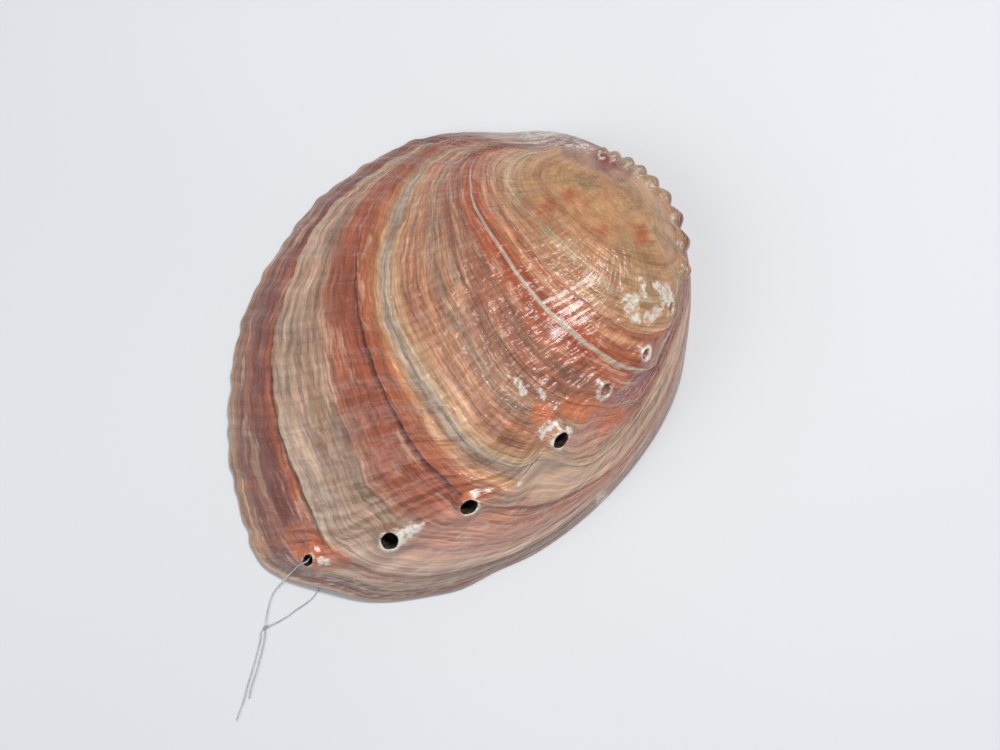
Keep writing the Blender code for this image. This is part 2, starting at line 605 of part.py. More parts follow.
def is_inside_out(verts, faces):
    volume = 0.0
    for face in faces:
        for i in range(1, len(face) - 1):
            a, b, c = (verts[face[k]] for k in (0, i, i + 1))
            volume += np.dot(a, np.cross(b, c))
    return volume < 0


def hole_frame(place, tilt):
    """A hole's middle on the bare dome and the three directions of its ellipse, in the part's frame."""
    normal = dome_normal(place)
    long_way = np.array([math.cos(math.radians(tilt)), math.sin(math.radians(tilt)), 0.0])
    long_way -= normal * np.dot(normal, long_way)
    long_way /= np.linalg.norm(long_way)
    frame = np.array([normal, long_way, np.cross(normal, long_way)])
    turned = to_model(frame) - to_model(np.zeros(3))
    return to_model(np.append(place, dome_height(place))), turned[0], turned[1], turned[2]


def tube(name, frame, stations, sides=HOLE_SIDES):
    """A closed tapering tube along a hole's axis: (height, half length, half width) at each ring."""
    centre, normal, long_way, across = frame
    verts = []
    for height, half_long, half_wide in stations:
        for i in range(sides):
            t = 2 * math.pi * i / sides
            verts.append(centre + normal * height + long_way * half_long * math.cos(t)
                         + across * half_wide * math.sin(t))
    faces = [tuple(reversed(range(sides))), tuple(range((len(stations) - 1) * sides, len(stations) * sides))]
    for ring in range(len(stations) - 1):
        for i in range(sides):
            a, b = ring * sides + i, ring * sides + (i + 1) % sides
            faces.append((a, b, b + sides, a + sides))
    return add_object(name, verts, faces)


def ball(middle, size, rings, sides):
    """A closed lump with its poles below and above, from rings of vertices."""
    verts = [middle - (0, 0, size[2] / 2), middle + (0, 0, size[2] / 2)]
    for ring in range(1, rings):
        down = math.pi * ring / rings
        for side in range(sides):
            t = 2 * math.pi * side / sides
            level = np.array([math.cos(t), math.sin(t)]) * math.sin(down)
            verts.append(middle + np.append(level, -math.cos(down)) * size / 2)
    return verts, [tuple(reversed(face)) for face in ring_faces(rings - 1, sides)]


def boolean(target, cutter, operation):
    cutter.hide_render = True
    cutter.display_type = "WIRE"
    mod = target.modifiers.new(cutter.name, "BOOLEAN")
    mod.operation = operation
    mod.object = cutter
    mod.solver = "EXACT"


def make_shell():
    verts, faces = shell_mesh()
    if is_inside_out(verts, faces):
        faces = [tuple(reversed(face)) for face in faces]
    shell = add_object("shell", verts, faces, material("shell_outside", (0.42, 0.17, 0.09), 0.28))
    for hole, place in zip(HOLES, HOLE_PLACES):
        name, is_open, _, _, _, stand, long, short, tilt = hole
        frame = hole_frame(place, tilt)
        half_long, half_wide = long / 2, short / 2
        base = stand - COLLAR_DEPTH
        wide = COLLAR_WIDTH + COLLAR_FLARE
        collar = [(base, half_long + wide, half_wide + wide),
                  (stand, half_long + COLLAR_WIDTH, half_wide + COLLAR_WIDTH)]
        boolean(shell, tube(name + "_collar", frame, collar), "UNION")
        over = stand + MOUTH_CLEARANCE
        if is_open:
            bore = [(-HOLE_DEPTH, half_long * BORE_FLARE, half_wide * BORE_FLARE),
                    (base, half_long * BORE_WAIST, half_wide * BORE_WAIST), (over, half_long, half_wide)]
        else:
            bore = [(stand - PIT_DEPTH, half_long * PIT_FLOOR, half_wide * PIT_FLOOR),
                    (over, half_long, half_wide)]
        boolean(shell, tube(name + "_bore", frame, bore), "DIFFERENCE")
    for number, (px, height, diameter) in enumerate(NODULES, 1):
        middle = to_model(np.append(unproject(px, height), height))
        knob = add_object(f"knob_{number}", *ball(middle, np.full(3, diameter), KNOB_RINGS, KNOB_SIDES))
        boolean(shell, knob, "UNION")


def smooth_path(points, step):
    """Points at about an even step along a smooth curve through the route's points."""
    points = np.asarray(points, float)
    chord = np.concatenate([[0], np.cumsum(np.linalg.norm(np.diff(points, axis=0), axis=1))])
    fine = smooth_curve(chord, points, np.linspace(0, chord[-1], PATH_POINTS))
    length = np.concatenate([[0], np.cumsum(np.linalg.norm(np.diff(fine, axis=0), axis=1))])
    even = np.linspace(0, length[-1], max(4, int(length[-1] / step)) + 1)
    return np.stack([np.interp(even, length, fine[:, i]) for i in range(3)], -1)


def thread_route(route, axis_heights=()):
    """A route's points in the part's frame: first along the newest hole's axis, then as shown."""
    centre, normal, _, _ = hole_frame(HOLE_PLACES[0], 0)
    inside = [centre + normal * height for height in axis_heights]
    px = np.array([place for place, _ in route], float)
    z = np.array([height for _, height in route])
    return np.array(inside + list(to_model(np.concatenate([unproject(px, z), z[:, None]], -1))))


def make_thread(name, points, mat):
    curve = bpy.data.curves.new(name, "CURVE")
    curve.dimensions = "3D"
    curve.bevel_depth = THREAD_DIAMETER / 2
    curve.bevel_resolution = 2
    curve.use_fill_caps = True
    spline = curve.splines.new("POLY")
    points = smooth_path(points, THREAD_STEP)
    spline.points.add(len(points) - 1)
    for target, place in zip(spline.points, points):
        target.co = (*place, 1)
    curve.materials.append(mat)
    bpy.context.collection.objects.link(bpy.data.objects.new(name, curve))


def make_knot(mat):
    middle = thread_route([KNOT])[0]
    add_object("thread_knot", *ball(middle, KNOT_SIZE, KNOB_RINGS, KNOB_SIDES), mat)


def main():
    for obj in list(bpy.data.objects):
        bpy.data.objects.remove(obj)
    make_shell()
    nylon = material("clear_nylon", (0.75, 0.76, 0.78), 0.25)
    make_thread("thread_over", thread_route(STRAND_OVER, OVER_AXIS), nylon)
    make_thread("thread_under", thread_route(STRAND_UNDER, UNDER_AXIS), nylon)
    make_knot(nylon)
    make_thread("thread_end_short", thread_route(TAIL_SHORT), nylon)
    make_thread("thread_end_long", thread_route(TAIL_LONG), nylon)


main()
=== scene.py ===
"""Looks of the abalone shell: its fine surface, growth bands and nacre, and the tied thread."""
import json
import math

import bmesh
import bpy
import mathutils
import numpy as np
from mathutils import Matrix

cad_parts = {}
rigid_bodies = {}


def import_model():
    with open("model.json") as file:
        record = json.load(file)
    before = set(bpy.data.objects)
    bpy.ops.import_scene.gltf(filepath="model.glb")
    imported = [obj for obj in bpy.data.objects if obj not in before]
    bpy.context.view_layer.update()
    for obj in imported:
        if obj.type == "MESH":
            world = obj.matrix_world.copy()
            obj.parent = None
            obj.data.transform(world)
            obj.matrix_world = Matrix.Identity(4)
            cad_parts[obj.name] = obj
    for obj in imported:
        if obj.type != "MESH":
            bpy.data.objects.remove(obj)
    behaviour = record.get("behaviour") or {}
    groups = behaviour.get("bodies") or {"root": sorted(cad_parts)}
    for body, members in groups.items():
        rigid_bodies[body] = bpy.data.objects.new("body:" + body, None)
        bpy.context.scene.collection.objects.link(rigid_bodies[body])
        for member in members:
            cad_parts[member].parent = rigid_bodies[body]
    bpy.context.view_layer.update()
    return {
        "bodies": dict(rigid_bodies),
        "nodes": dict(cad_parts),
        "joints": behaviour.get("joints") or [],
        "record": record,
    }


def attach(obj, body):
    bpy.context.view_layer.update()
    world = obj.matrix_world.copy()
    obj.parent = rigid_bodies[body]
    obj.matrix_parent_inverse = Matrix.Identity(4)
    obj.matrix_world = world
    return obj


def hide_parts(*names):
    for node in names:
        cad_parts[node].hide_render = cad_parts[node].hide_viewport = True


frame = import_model()

# Driving dimensions
SHELL_LENGTH = 0.1623
SHELL_HEIGHT = 0.046
WALL_THICKNESS = 0.0026
LIP_THICKNESS = 0.0011
LIP_WIDTH = 0.0021
SHELF_WIDTH = 0.0085
BACK_RIM_WIDTH = 0.0026
THREAD_DIAMETER = 0.00045
KNOT_SIZE = np.array((0.0016, 0.0012, 0.0011))

# The photograph's frame: traced lines below are in its pixels, and this turns them into metres
PHOTO_SHELL_LENGTH_PX = 541.0
PHOTO_CENTRE_PX = (500.0, 375.0)
VIEW_DISTANCE = 0.62
VIEW_ELEVATION = math.radians(76)
LENGTH_AXIS_ANGLE = math.radians(41.4)
METRES_PER_PX = SHELL_LENGTH / PHOTO_SHELL_LENGTH_PX
FOCAL_PX = VIEW_DISTANCE / METRES_PER_PX

# A growth line starts at the lip's upper end, runs over the crown to the row of holes, then down
# the wall to the spire's side, and closes hidden behind the spire. These are the rays from the
# spire's tip where it starts and where its hidden part begins, and its stations along the way.
START_RAY = math.radians(148)
BACK_RAY = math.radians(334)
LAST_RIDGE_RAY = math.radians(297)
RIDGE_V = 0.60
BACK_V = 0.82

# The spire's own rings, as shares of the first traced line's size
SPIRE_RINGS = (0.0, 0.25, 0.5, 0.75)
LINE_STEP = 0.15

# How far inside the margin the innermost traced line closes: hidden behind the spire, and at the lip
HIDDEN_INSET = 0.13
START_INSET = 0.30
INSET_EASE = 1.5

# Growth lines, innermost first: how far out it lies, its crown from the lip to the row of holes,
# and its wall below the row
SPIRE_TIP_PX = (612, 180)
DOME_TOP_PX = (545, 315)
GROWTH_LINES = (
    ("tan_2", 0.15,
     [(560, 154), (543, 162), (537, 175), (543, 191), (561, 209), (581, 228), (606, 247), (627, 259),
      (650, 266), (670, 268), (682, 262)], []),
    ("tan_1", 0.213,
     [(550, 151), (522, 156), (508, 168), (508, 186), (520, 204), (540, 222), (556, 240), (578, 260),
      (597, 277), (620, 291), (648, 300), (673, 300)], []),
    ("spire_edge", 0.273,
     [(545, 149), (510, 152), (494, 162), (491, 180), (499, 203), (512, 223), (530, 245), (548, 267),
      (582, 299), (610, 318), (638, 331), (660, 331)], [(676, 318)]),
    ("pale_line", 0.342,
     [(540, 147), (500, 149), (480, 154), (472, 165), (470, 182), (474, 205), (485, 225), (500, 248),
      (523, 282), (540, 303), (570, 331), (605, 357), (625, 368), (637, 370)], [(658, 363), (675, 338)]),
    ("brick", 0.435,
     [(540, 145), (500, 147), (475, 153), (460, 163), (450, 180), (449, 205), (455, 233), (465, 270),
      (480, 300), (500, 340), (520, 366), (545, 389), (568, 401), (580, 404), (592, 403)],
     [(610, 407), (630, 403), (650, 390), (671, 360)]),
    ("grey_green", 0.633,
     [(540, 143), (500, 144), (470, 146), (450, 151), (430, 163), (412, 185), (398, 220), (388, 250),
      (385, 285), (390, 317), (404, 350), (430, 393), (450, 422), (470, 446), (500, 463), (525, 466),
      (541, 455)],
     [(575, 468), (605, 452), (633, 421), (656, 385), (676, 340)]),
    ("rest_2", 0.696,
     [(540, 141), (500, 142), (470, 143), (440, 148), (415, 163), (390, 183), (370, 215), (360, 255),
      (358, 285), (361, 315), (370, 350), (385, 390), (400, 420), (420, 452), (445, 477), (465, 492),
      (483, 498)],
     [(505, 506), (540, 503), (580, 487), (615, 463), (645, 425), (668, 384), (682, 338)]),
    ("rest_1", 0.881,
     [(540, 138), (500, 139), (470, 139), (440, 142), (420, 147), (400, 157), (365, 180), (335, 206),
      (312, 237), (293, 280), (278, 322), (274, 350), (276, 395), (284, 440), (300, 480), (318, 522),
      (334, 549), (348, 554)],
     [(375, 569), (410, 574), (445, 572), (485, 562), (525, 546), (565, 522), (600, 493), (637, 452),
      (664, 407), (682, 355)]),
    ("margin", 1.0,
     [(545, 133), (508, 134), (460, 135), (420, 141), (380, 158), (345, 180), (315, 204), (290, 236),
      (270, 265), (254, 294), (243, 322), (236, 350), (232, 385), (230, 420), (231, 460), (238, 497),
      (246, 525), (253, 548), (264, 566)],
     [(283, 577), (310, 587), (340, 594), (375, 601), (420, 598), (460, 589), (500, 570), (540, 550),
      (580, 522), (610, 494), (640, 459), (665, 420), (679, 386), (686, 345), (689, 305)]),
)
HIDDEN_MARGIN_PX = [(689, 305), (688, 282), (683, 257), (674, 233), (661, 210), (646, 191), (628, 174),
                    (610, 160), (592, 149), (570, 139), (545, 134)]

# How close to the margin the traced outline takes over from the dome's own
MARGIN_HOLD = 8

# How rounded the dome is at its very top, as a share of the way to the margin
TOP_SOFTNESS = 0.18

# The dome's two exponents in each direction from its top, in degrees of the photograph's frame
DOME_SIDES = ((-175, 1.75, 1.0), (-140, 1.8, 1.0), (-105, 2.3, 0.95), (-70, 2.5, 0.9), (-35, 2.5, 0.8),
              (-5, 2.6, 0.6), (25, 2.6, 0.42), (55, 2.4, 0.38), (80, 2.1, 0.6), (105, 2.0, 0.95),
              (140, 1.85, 1.0))

# Lines where growth rested: how far out, rise, and the widths inside and outside the line
REST_LINES = ((0.273, 0.0003, 0.02, 0.008), (0.342, 0.0004, 0.015, 0.008), (0.435, 0.0003, 0.02, 0.01),
              (0.633, 0.0004, 0.02, 0.012), (0.696, 0.0010, 0.03, 0.012), (0.881, 0.0010, 0.03, 0.014))
REST_HOLLOW = 0.45
WAVE_COUNT = 16
WAVE_HEIGHT = 0.00030

# Share of the steps and of the waves at stations around a growth line
STEP_FADE = ((0, 0.0), (0.06, 0.1), (0.14, 0.45), (0.24, 1.0), (RIDGE_V, 1.0), (0.70, 0.65),
             (0.77, 0.25), (0.84, 0.0), (1.0, 0.0))
WAVE_FADE = ((0, 0.0), (0.06, 1.0), (0.55, 1.0), (0.64, 0.3), (BACK_V, 0.0), (1.0, 0.0))
FULL_RELIEF_OUT = 0.65
MARGIN_FADE = 0.03
RIDGE_HEIGHT = 0.0014
RIDGE_WIDTH = 0.0050

# The shallow groove below the row of holes, and how long a growth line's stretch below the row is
# where the ridge and the groove begin and where they are whole, and how far out the groove runs out
GROOVE_DEPTH = 0.0009
GROOVE_OFFSET = 0.0085
GROOVE_WIDTH = 0.0040
WALL_LENGTHS = (0.010, 0.040)
GROOVE_END = (0.75, 0.97)

# The row of holes, newest first: name, open or grown shut, where its mouth shows, the swelling's
# rise and width, the mouth's height over the bare dome, its long and short diameters and long way
HOLES = (
    ("hole_1", True, (308, 560), 0.0010, 0.0042, 0.0023, 0.0042, 0.0029, 62),
    ("hole_2", True, (390, 541), 0.0013, 0.0058, 0.0028, 0.0058, 0.0051, 50),
    ("hole_3", True, (469, 507), 0.0013, 0.0055, 0.0028, 0.0057, 0.0042, 48),
    ("hole_4", True, (561, 440), 0.0024, 0.0055, 0.0037, 0.0054, 0.0037, 60),
    ("hole_5", False, (606, 390), 0.0012, 0.0045, 0.0023, 0.0042, 0.0031, 60),
    ("hole_6", False, (646, 354), 0.0011, 0.0040, 0.0019, 0.0036, 0.0027, 65),
    ("hole_7", False, (671, 308), 0.0010, 0.0036, 0.0015, 0.0036, 0.0024, 80),
)
HOLE_DEPTH = 0.0100
COLLAR_DEPTH = 0.0018
COLLAR_WIDTH = 0.0005
MOUTH_CLEARANCE = 0.002
BORE_FLARE = 1.25
BORE_WAIST = 0.92
PIT_DEPTH = 0.0011

# Knobs on the spire's edge where still older holes grew shut: where the middle shows, its height
# over the surface that the shell rests on, and the knob's diameter
NODULES = (
    ((682, 270), 0.024, 0.0036), ((681, 243), 0.022, 0.0038), ((675, 219), 0.020, 0.0038),
    ((663, 199), 0.020, 0.0038), ((651, 184), 0.020, 0.0036), ((639, 173), 0.019, 0.0035),
    ((627, 165), 0.019, 0.0034), ((614, 159), 0.0205, 0.0034), ((602, 155), 0.021, 0.0032),
)

# The thread. Both strands start in the newest hole, at these heights along its axis, and go to a
# knot on the surface, one over the lip and one under it. Two loose ends lie beyond the knot.
# Each point after the axis is a pixel and the height of the thread's middle.
OVER_AXIS = (0.0014, 0.0031)
STRAND_OVER = (((299.3, 565.2), 0.0089), ((295, 569), 0.0066), ((291, 573), 0.0046), ((287, 577), 0.0031),
               ((283, 581), 0.0021), ((277.5, 587), 0.0010), ((273, 594), 0.0004), ((269.5, 604), 0.0003),
               ((267, 615), 0.0003), ((266, 623), 0.0004))
UNDER_AXIS = (0.0003, -0.0014)
STRAND_UNDER = (((313, 572), 0.0030), ((315.5, 578), 0.0018), ((317, 585), 0.0009), ((317, 591), 0.00036),
                ((313, 597.5), 0.0003), ((305, 604), 0.0003), ((296, 610), 0.0003), ((286.6, 617), 0.0003),
                ((277, 622.5), 0.0003), ((270, 625.7), 0.0004))
KNOT = ((265.5, 627.5), 0.0006)
TAIL_SHORT = (((265.5, 632), 0.0004), ((264.5, 640), 0.0003), ((262, 652), 0.0003), ((258.5, 665), 0.0003),
              ((254.5, 678), 0.0003), ((251, 689), 0.0003), ((249.5, 698), 0.0003))
TAIL_LONG = (((262, 631), 0.0004), ((260.5, 640), 0.0003), ((257.5, 652), 0.0003), ((254, 665), 0.0003),
             ((250, 678), 0.0003), ((246, 692), 0.0003), ((243, 703), 0.0003), ((239, 713), 0.0003),
             ((237, 720), 0.0003))

# Stretches of the margin that stand off the surface: ray from the spire's tip, rise, half width
MARGIN_LIFTS = ((234.0, 0.0016, 7.0), (152.0, 0.0012, 16.0), (209.0, 0.0007, 9.0))

# The flat shelf inside the spire's side of the margin, which the shell rests on: the rays from the
# spire's tip where it begins and ends, over how many degrees it widens, and its thickness
SHELF_RAYS = (241.0, 352.0)
SHELF_EASE = 18.0
SHELF_THICKNESS = 0.0028
SHELF_EDGE_SHARE = 0.8
INNER_LIP_HEIGHT = 0.0004
LIP_FLAT_SHARES = (0.70, 0.85)
EDGE_INSET = 0.0003

INNER_SHARES = np.array([0, 0.08, 0.16, 0.24, 0.32, 0.40, 0.48, 0.56, 0.63, 0.70, 0.76, 0.81, 0.86,
                         0.90, 0.93, 0.96, 0.98, 1.0])

# Fineness of the shapes worked out on the way, and the steps of the two fitting loops
RAY_COUNT = 721
LOOP_POINTS = 1500
PATH_POINTS = 300
MARGIN_POINTS = 240
SETTLE_STEPS, SETTLE_SHARE = 80, 0.4
PLACE_STEPS = 8
PROBE = 0.002
SHARE_PROBE = 0.012


def unproject(px, height):
    """Photograph pixels to plan metres, for points at a given height over the surface."""
    px = np.asarray(px, float)
    height = np.asarray(height, float)
    across = (px[..., 0] - PHOTO_CENTRE_PX[0]) / FOCAL_PX
    up = (PHOTO_CENTRE_PX[1] - px[..., 1]) / FOCAL_PX
    sin_e, cos_e = math.sin(VIEW_ELEVATION), math.cos(VIEW_ELEVATION)
    y = (up * VIEW_DISTANCE - height * (cos_e + up * sin_e)) / (sin_e - up * cos_e)
    depth = VIEW_DISTANCE + y * cos_e - height * sin_e
    return np.stack([across * depth, y], -1)


def project(point):
    """Photograph pixel where a point in plan metres with a height shows."""
    sin_e, cos_e = math.sin(VIEW_ELEVATION), math.cos(VIEW_ELEVATION)
    depth = VIEW_DISTANCE + point[1] * cos_e - point[2] * sin_e
    up = (point[1] * sin_e + point[2] * cos_e) / depth
    return np.array([PHOTO_CENTRE_PX[0] + FOCAL_PX * point[0] / depth, PHOTO_CENTRE_PX[1] - FOCAL_PX * up])


def hermite(t, values, slopes, query):
    """Cubic pieces through values at t with the given slopes."""
    k = np.clip(np.searchsorted(t, query, side="right") - 1, 0, len(t) - 2)
    h = t[k + 1] - t[k]
    s = (query - t[k]) / h
    s2, s3 = s * s, s * s * s
    if values.ndim > 1:
        shape = (-1,) + (1,) * (values.ndim - 1)
        h, s, s2, s3 = (a.reshape(shape) for a in (h, s, s2, s3))
    return (values[k] * (2 * s3 - 3 * s2 + 1) + slopes[k] * h * (s3 - 2 * s2 + s)
            + values[k + 1] * (3 * s2 - 2 * s3) + slopes[k + 1] * h * (s3 - s2))


def smooth_curve(t, values, query):
    """A smooth curve through values at t, with free ends."""
    t, values, query = np.asarray(t, float), np.asarray(values, float), np.asarray(query, float)
    steps = np.diff(t).reshape((-1,) + (1,) * (values.ndim - 1))
    rates = np.diff(values, axis=0) / steps
    slopes = np.empty_like(values)
    slopes[1:-1] = (rates[:-1] * steps[1:] + rates[1:] * steps[:-1]) / (steps[1:] + steps[:-1])
    slopes[0], slopes[-1] = rates[0], rates[-1]
    return hermite(t, values, slopes, query)


def monotone(t, values, query):
    """A smooth curve through values at t that never passes beyond its neighbouring values."""
    t, values, query = np.asarray(t, float), np.asarray(values, float), np.asarray(query, float)
    steps = np.diff(t).reshape((-1,) + (1,) * (values.ndim - 1))
    rates = np.diff(values, axis=0) / steps
    first, second = 2 * steps[1:] + steps[:-1], steps[1:] + 2 * steps[:-1]
    same_way = rates[:-1] * rates[1:] > 0
    before, after = np.where(same_way, rates[:-1], 1), np.where(same_way, rates[1:], 1)
    slopes = np.empty_like(values)
    slopes[1:-1] = np.where(same_way, (first + second) / (first / before + second / after), 0)
    slopes[0], slopes[-1] = rates[0], rates[-1]
    return hermite(t, values, slopes, query)


def smooth_loop(t, values, query, period):
    """A smooth closed curve through values at t."""
    t, values = np.asarray(t, float), np.asarray(values, float)
    order = np.argsort(t)
    t, values = t[order], values[order]
    t_long = np.concatenate([t[-3:] - period, t, t[:3] + period])
    v_long = np.concatenate([values[-3:], values, values[:3]])
    query = (np.asarray(query, float) - t[0]) % period + t[0]
    return smooth_curve(t_long, v_long, query)


def polar(points, centre):
    d = points - centre
    return np.arctan2(d[..., 1], d[..., 0]), np.hypot(d[..., 0], d[..., 1])


DOME_TOP = unproject(DOME_TOP_PX, SHELL_HEIGHT)
MARGIN_PLAN = unproject(GROWTH_LINES[-1][2] + GROWTH_LINES[-1][3] + HIDDEN_MARGIN_PX[1:-1], 0.0)
MARGIN_ANGLE, MARGIN_RADIUS = polar(MARGIN_PLAN, DOME_TOP)


def reach(plan):
    """How far out a plan point lies, 0 at the dome's top and 1 at the margin, and its direction."""
    angle, radius = polar(plan, DOME_TOP)
    edge = smooth_loop(MARGIN_ANGLE, MARGIN_RADIUS, angle.ravel(), 2 * math.pi).reshape(angle.shape)
    return np.clip(radius / edge, 0, 1), angle, edge


def dome_fall(share, angle):
    """1 at the dome's top and 0 at its margin, with each side's own fullness."""
    sides = np.array(DOME_SIDES, float)
    side_angle = np.radians(sides[:, 0])
    full = smooth_loop(side_angle, sides[:, 1], angle.ravel(), 2 * math.pi).reshape(angle.shape)
    steep = smooth_loop(side_angle, sides[:, 2], angle.ravel(), 2 * math.pi).reshape(angle.shape)
    soft = (share * share + TOP_SOFTNESS ** 2) ** (full / 2) - TOP_SOFTNESS ** full
    soft /= (1 + TOP_SOFTNESS ** 2) ** (full / 2) - TOP_SOFTNESS ** full
    return np.clip(1 - soft, 0, 1) ** steep


def dome_height(plan):
    share, angle, _ = reach(plan)
    return (SHELL_HEIGHT - LIP_THICKNESS) * dome_fall(share, angle) + LIP_THICKNESS


def settle(px):
    """Plan places of traced pixels that lie on the dome."""
    px = np.asarray(px, float)
    height = np.zeros(px.shape[:-1])
    for _ in range(SETTLE_STEPS):
        height += SETTLE_SHARE * (dome_height(unproject(px, height)) - height)
    return unproject(px, height)


MODEL_ANGLES = np.linspace(START_RAY, START_RAY + 2 * math.pi, RAY_COUNT)


def closed_ring(px_crown, px_wall, rim_inset, tip, margin_back):
    """A growth line as its distance from the spire's tip along MODEL_ANGLES, and its hole-row ray."""
    if rim_inset == 0:
        front = unproject(px_crown + px_wall[:-1], 0.0)
    else:
        front = settle(px_crown + px_wall)
    ease = np.linspace(0, 1, len(margin_back))[:, None] ** INSET_EASE
    back = tip + (margin_back - tip) * (1 - rim_inset * (HIDDEN_INSET + (START_INSET - HIDDEN_INSET) * ease))
    loop = np.concatenate([front, back, front[:1]])
    chord = np.concatenate([[0], np.cumsum(np.linalg.norm(np.diff(loop, axis=0), axis=1))])
    fine = smooth_loop(chord[:-1], loop[:-1], np.linspace(0, chord[-1], LOOP_POINTS), chord[-1])
    angle, radius = polar(fine, tip)
    angle = (angle - START_RAY) % (2 * math.pi) + START_RAY
    order = np.argsort(angle)
    radius = np.interp(MODEL_ANGLES, angle[order], radius[order], period=2 * math.pi)
    ridge_angle, _ = polar(front[len(px_crown) - 1], tip)
    ridge_angle = (ridge_angle - START_RAY) % (2 * math.pi) + START_RAY
    return radius, min(ridge_angle, LAST_RIDGE_RAY)


def station_angles(radius, ridge_ray, stations):
    """The rays of the stations of one growth line, even along each of its stretches."""
    x, y = radius * np.cos(MODEL_ANGLES), radius * np.sin(MODEL_ANGLES)
    length = np.concatenate([[0], np.cumsum(np.hypot(np.diff(x), np.diff(y)))])
    ends_v = np.array([0, RIDGE_V, BACK_V, 1.0])
    ends = np.interp([START_RAY, ridge_ray, BACK_RAY, MODEL_ANGLES[-1]], MODEL_ANGLES, length)
    return np.interp(np.interp(stations, ends_v, ends), length, MODEL_ANGLES)


def growth_rings():
    """All growth lines from the spire's tip out: how far out, distances, and hole-row rays."""
    tip = settle(SPIRE_TIP_PX)
    margin_back = unproject(HIDDEN_MARGIN_PX, 0.0)[:-1]
    outs, radii, ridges = [], [], []
    for _, out, crown, wall in GROWTH_LINES:
        rim_inset = (1 - out) / (1 - GROWTH_LINES[0][1])
        radius, ridge = closed_ring(crown, wall, rim_inset, tip, margin_back)
        outs.append(out)
        radii.append(radius)
        ridges.append(ridge)
    for k in range(len(radii) - 2, -1, -1):
        step = LINE_STEP * (outs[k + 1] - outs[k]) / outs[k + 1]
        radii[k] = np.minimum(radii[k], radii[k + 1] * (1 - step))
    outs = [outs[0] * share for share in SPIRE_RINGS] + outs
    radii = [radii[0] * share for share in SPIRE_RINGS] + radii
    return tip, np.array(outs), np.array(radii), np.array(ridges)


TIP, RING_OUT, RING_RADIUS, RING_RIDGE = growth_rings()
TRACED = len(SPIRE_RINGS)


def net_plan(out, v):
    """Plan places of a net: rows at shares out of the way to the margin, columns at stations v."""
    v = np.asarray(v, float)
    angles = np.array([station_angles(r, a, v) for r, a in zip(RING_RADIUS[TRACED:], RING_RIDGE)])
    angles = monotone(RING_OUT[TRACED:], angles, np.maximum(out, RING_OUT[TRACED]))
    radius = monotone(RING_OUT, RING_RADIUS, out)
    radius = np.array([np.interp(a, MODEL_ANGLES, r) for a, r in zip(angles, radius)])
    return TIP + radius[..., None] * np.stack([np.cos(angles), np.sin(angles)], -1)


def net_surface(out, v):
    """Plan places of a net, with how far out on the dome each lies, which way, and its edge there."""
    plan = net_plan(out, v)
    share, angle, edge = reach(plan)
    edge_share = reach(net_plan(np.array([1.0]), v))[0]
    fit = 1 + (edge_share - 1) * out[:, None] ** MARGIN_HOLD
    return plan, np.minimum(share / fit, 1), angle, edge


def outward(plan, share, angle, edge):
    """Outward directions of the bare dome."""
    inner, outer = np.clip(share - SHARE_PROBE, 0, 1), np.clip(share + SHARE_PROBE, 0, 0.999)
    drop = (dome_fall(inner, angle) - dome_fall(outer, angle)) * (SHELL_HEIGHT - LIP_THICKNESS)
    slope = drop / np.maximum((outer - inner) * edge, 1e-6)
    radial = (plan - DOME_TOP) / np.maximum(np.linalg.norm(plan - DOME_TOP, axis=-1, keepdims=True), 1e-9)
    n = np.concatenate([radial * slope[..., None], np.ones_like(slope)[..., None]], -1)
    return n / np.linalg.norm(n, axis=-1, keepdims=True)


def bump(distance, width):
    return np.exp(-(distance / width) ** 2)


def growth_steps(out):
    """Where the shell paused in growing: each line stands up and drops to the next layer."""
    height = np.zeros_like(out)
    for line, rise, inner_width, outer_width in REST_LINES:
        inside = out <= line
        height += rise * np.where(inside, bump(line - out, inner_width), 0)
        height -= REST_HOLLOW * rise * np.where(inside, 0, bump(out - line - outer_width, 2 * outer_width))
    return height


def ridge_distance(plan, v):
    """Way along each growth line from the row of holes, positive on the crown, and its wall's length."""
    step = np.linalg.norm(np.roll(plan, -1, axis=1) - plan, axis=-1)
    way = np.concatenate([np.zeros((len(plan), 1)), np.cumsum(step, axis=1)[:, :-1]], axis=1)
    at_ridge = np.array([np.interp(RIDGE_V, v, row) for row in way])
    at_back = np.array([np.interp(BACK_V, v, row) for row in way])
    return at_ridge[:, None] - way, (at_back - at_ridge)[:, None]


def dome_normal(plan):
    """Outward direction of the bare dome at one plan place."""
    z = dome_height(plan)
    slope = [(dome_height(plan + d) - z) / PROBE for d in np.eye(2) * PROBE]
    normal = np.array([-slope[0], -slope[1], 1.0])
    return normal / np.linalg.norm(normal)


def hole_place(px, stand):
    """The plan place whose raised mouth shows at a pixel."""
    base_px = np.array(px, float)
    for _ in range(PLACE_STEPS):
        plan = settle(base_px)
        mouth = np.append(plan, dome_height(plan)) + dome_normal(plan) * stand
        base_px += np.array(px) - project(mouth)
    return plan


HOLE_PLACES = [hole_place(hole[2], hole[5]) for hole in HOLES]


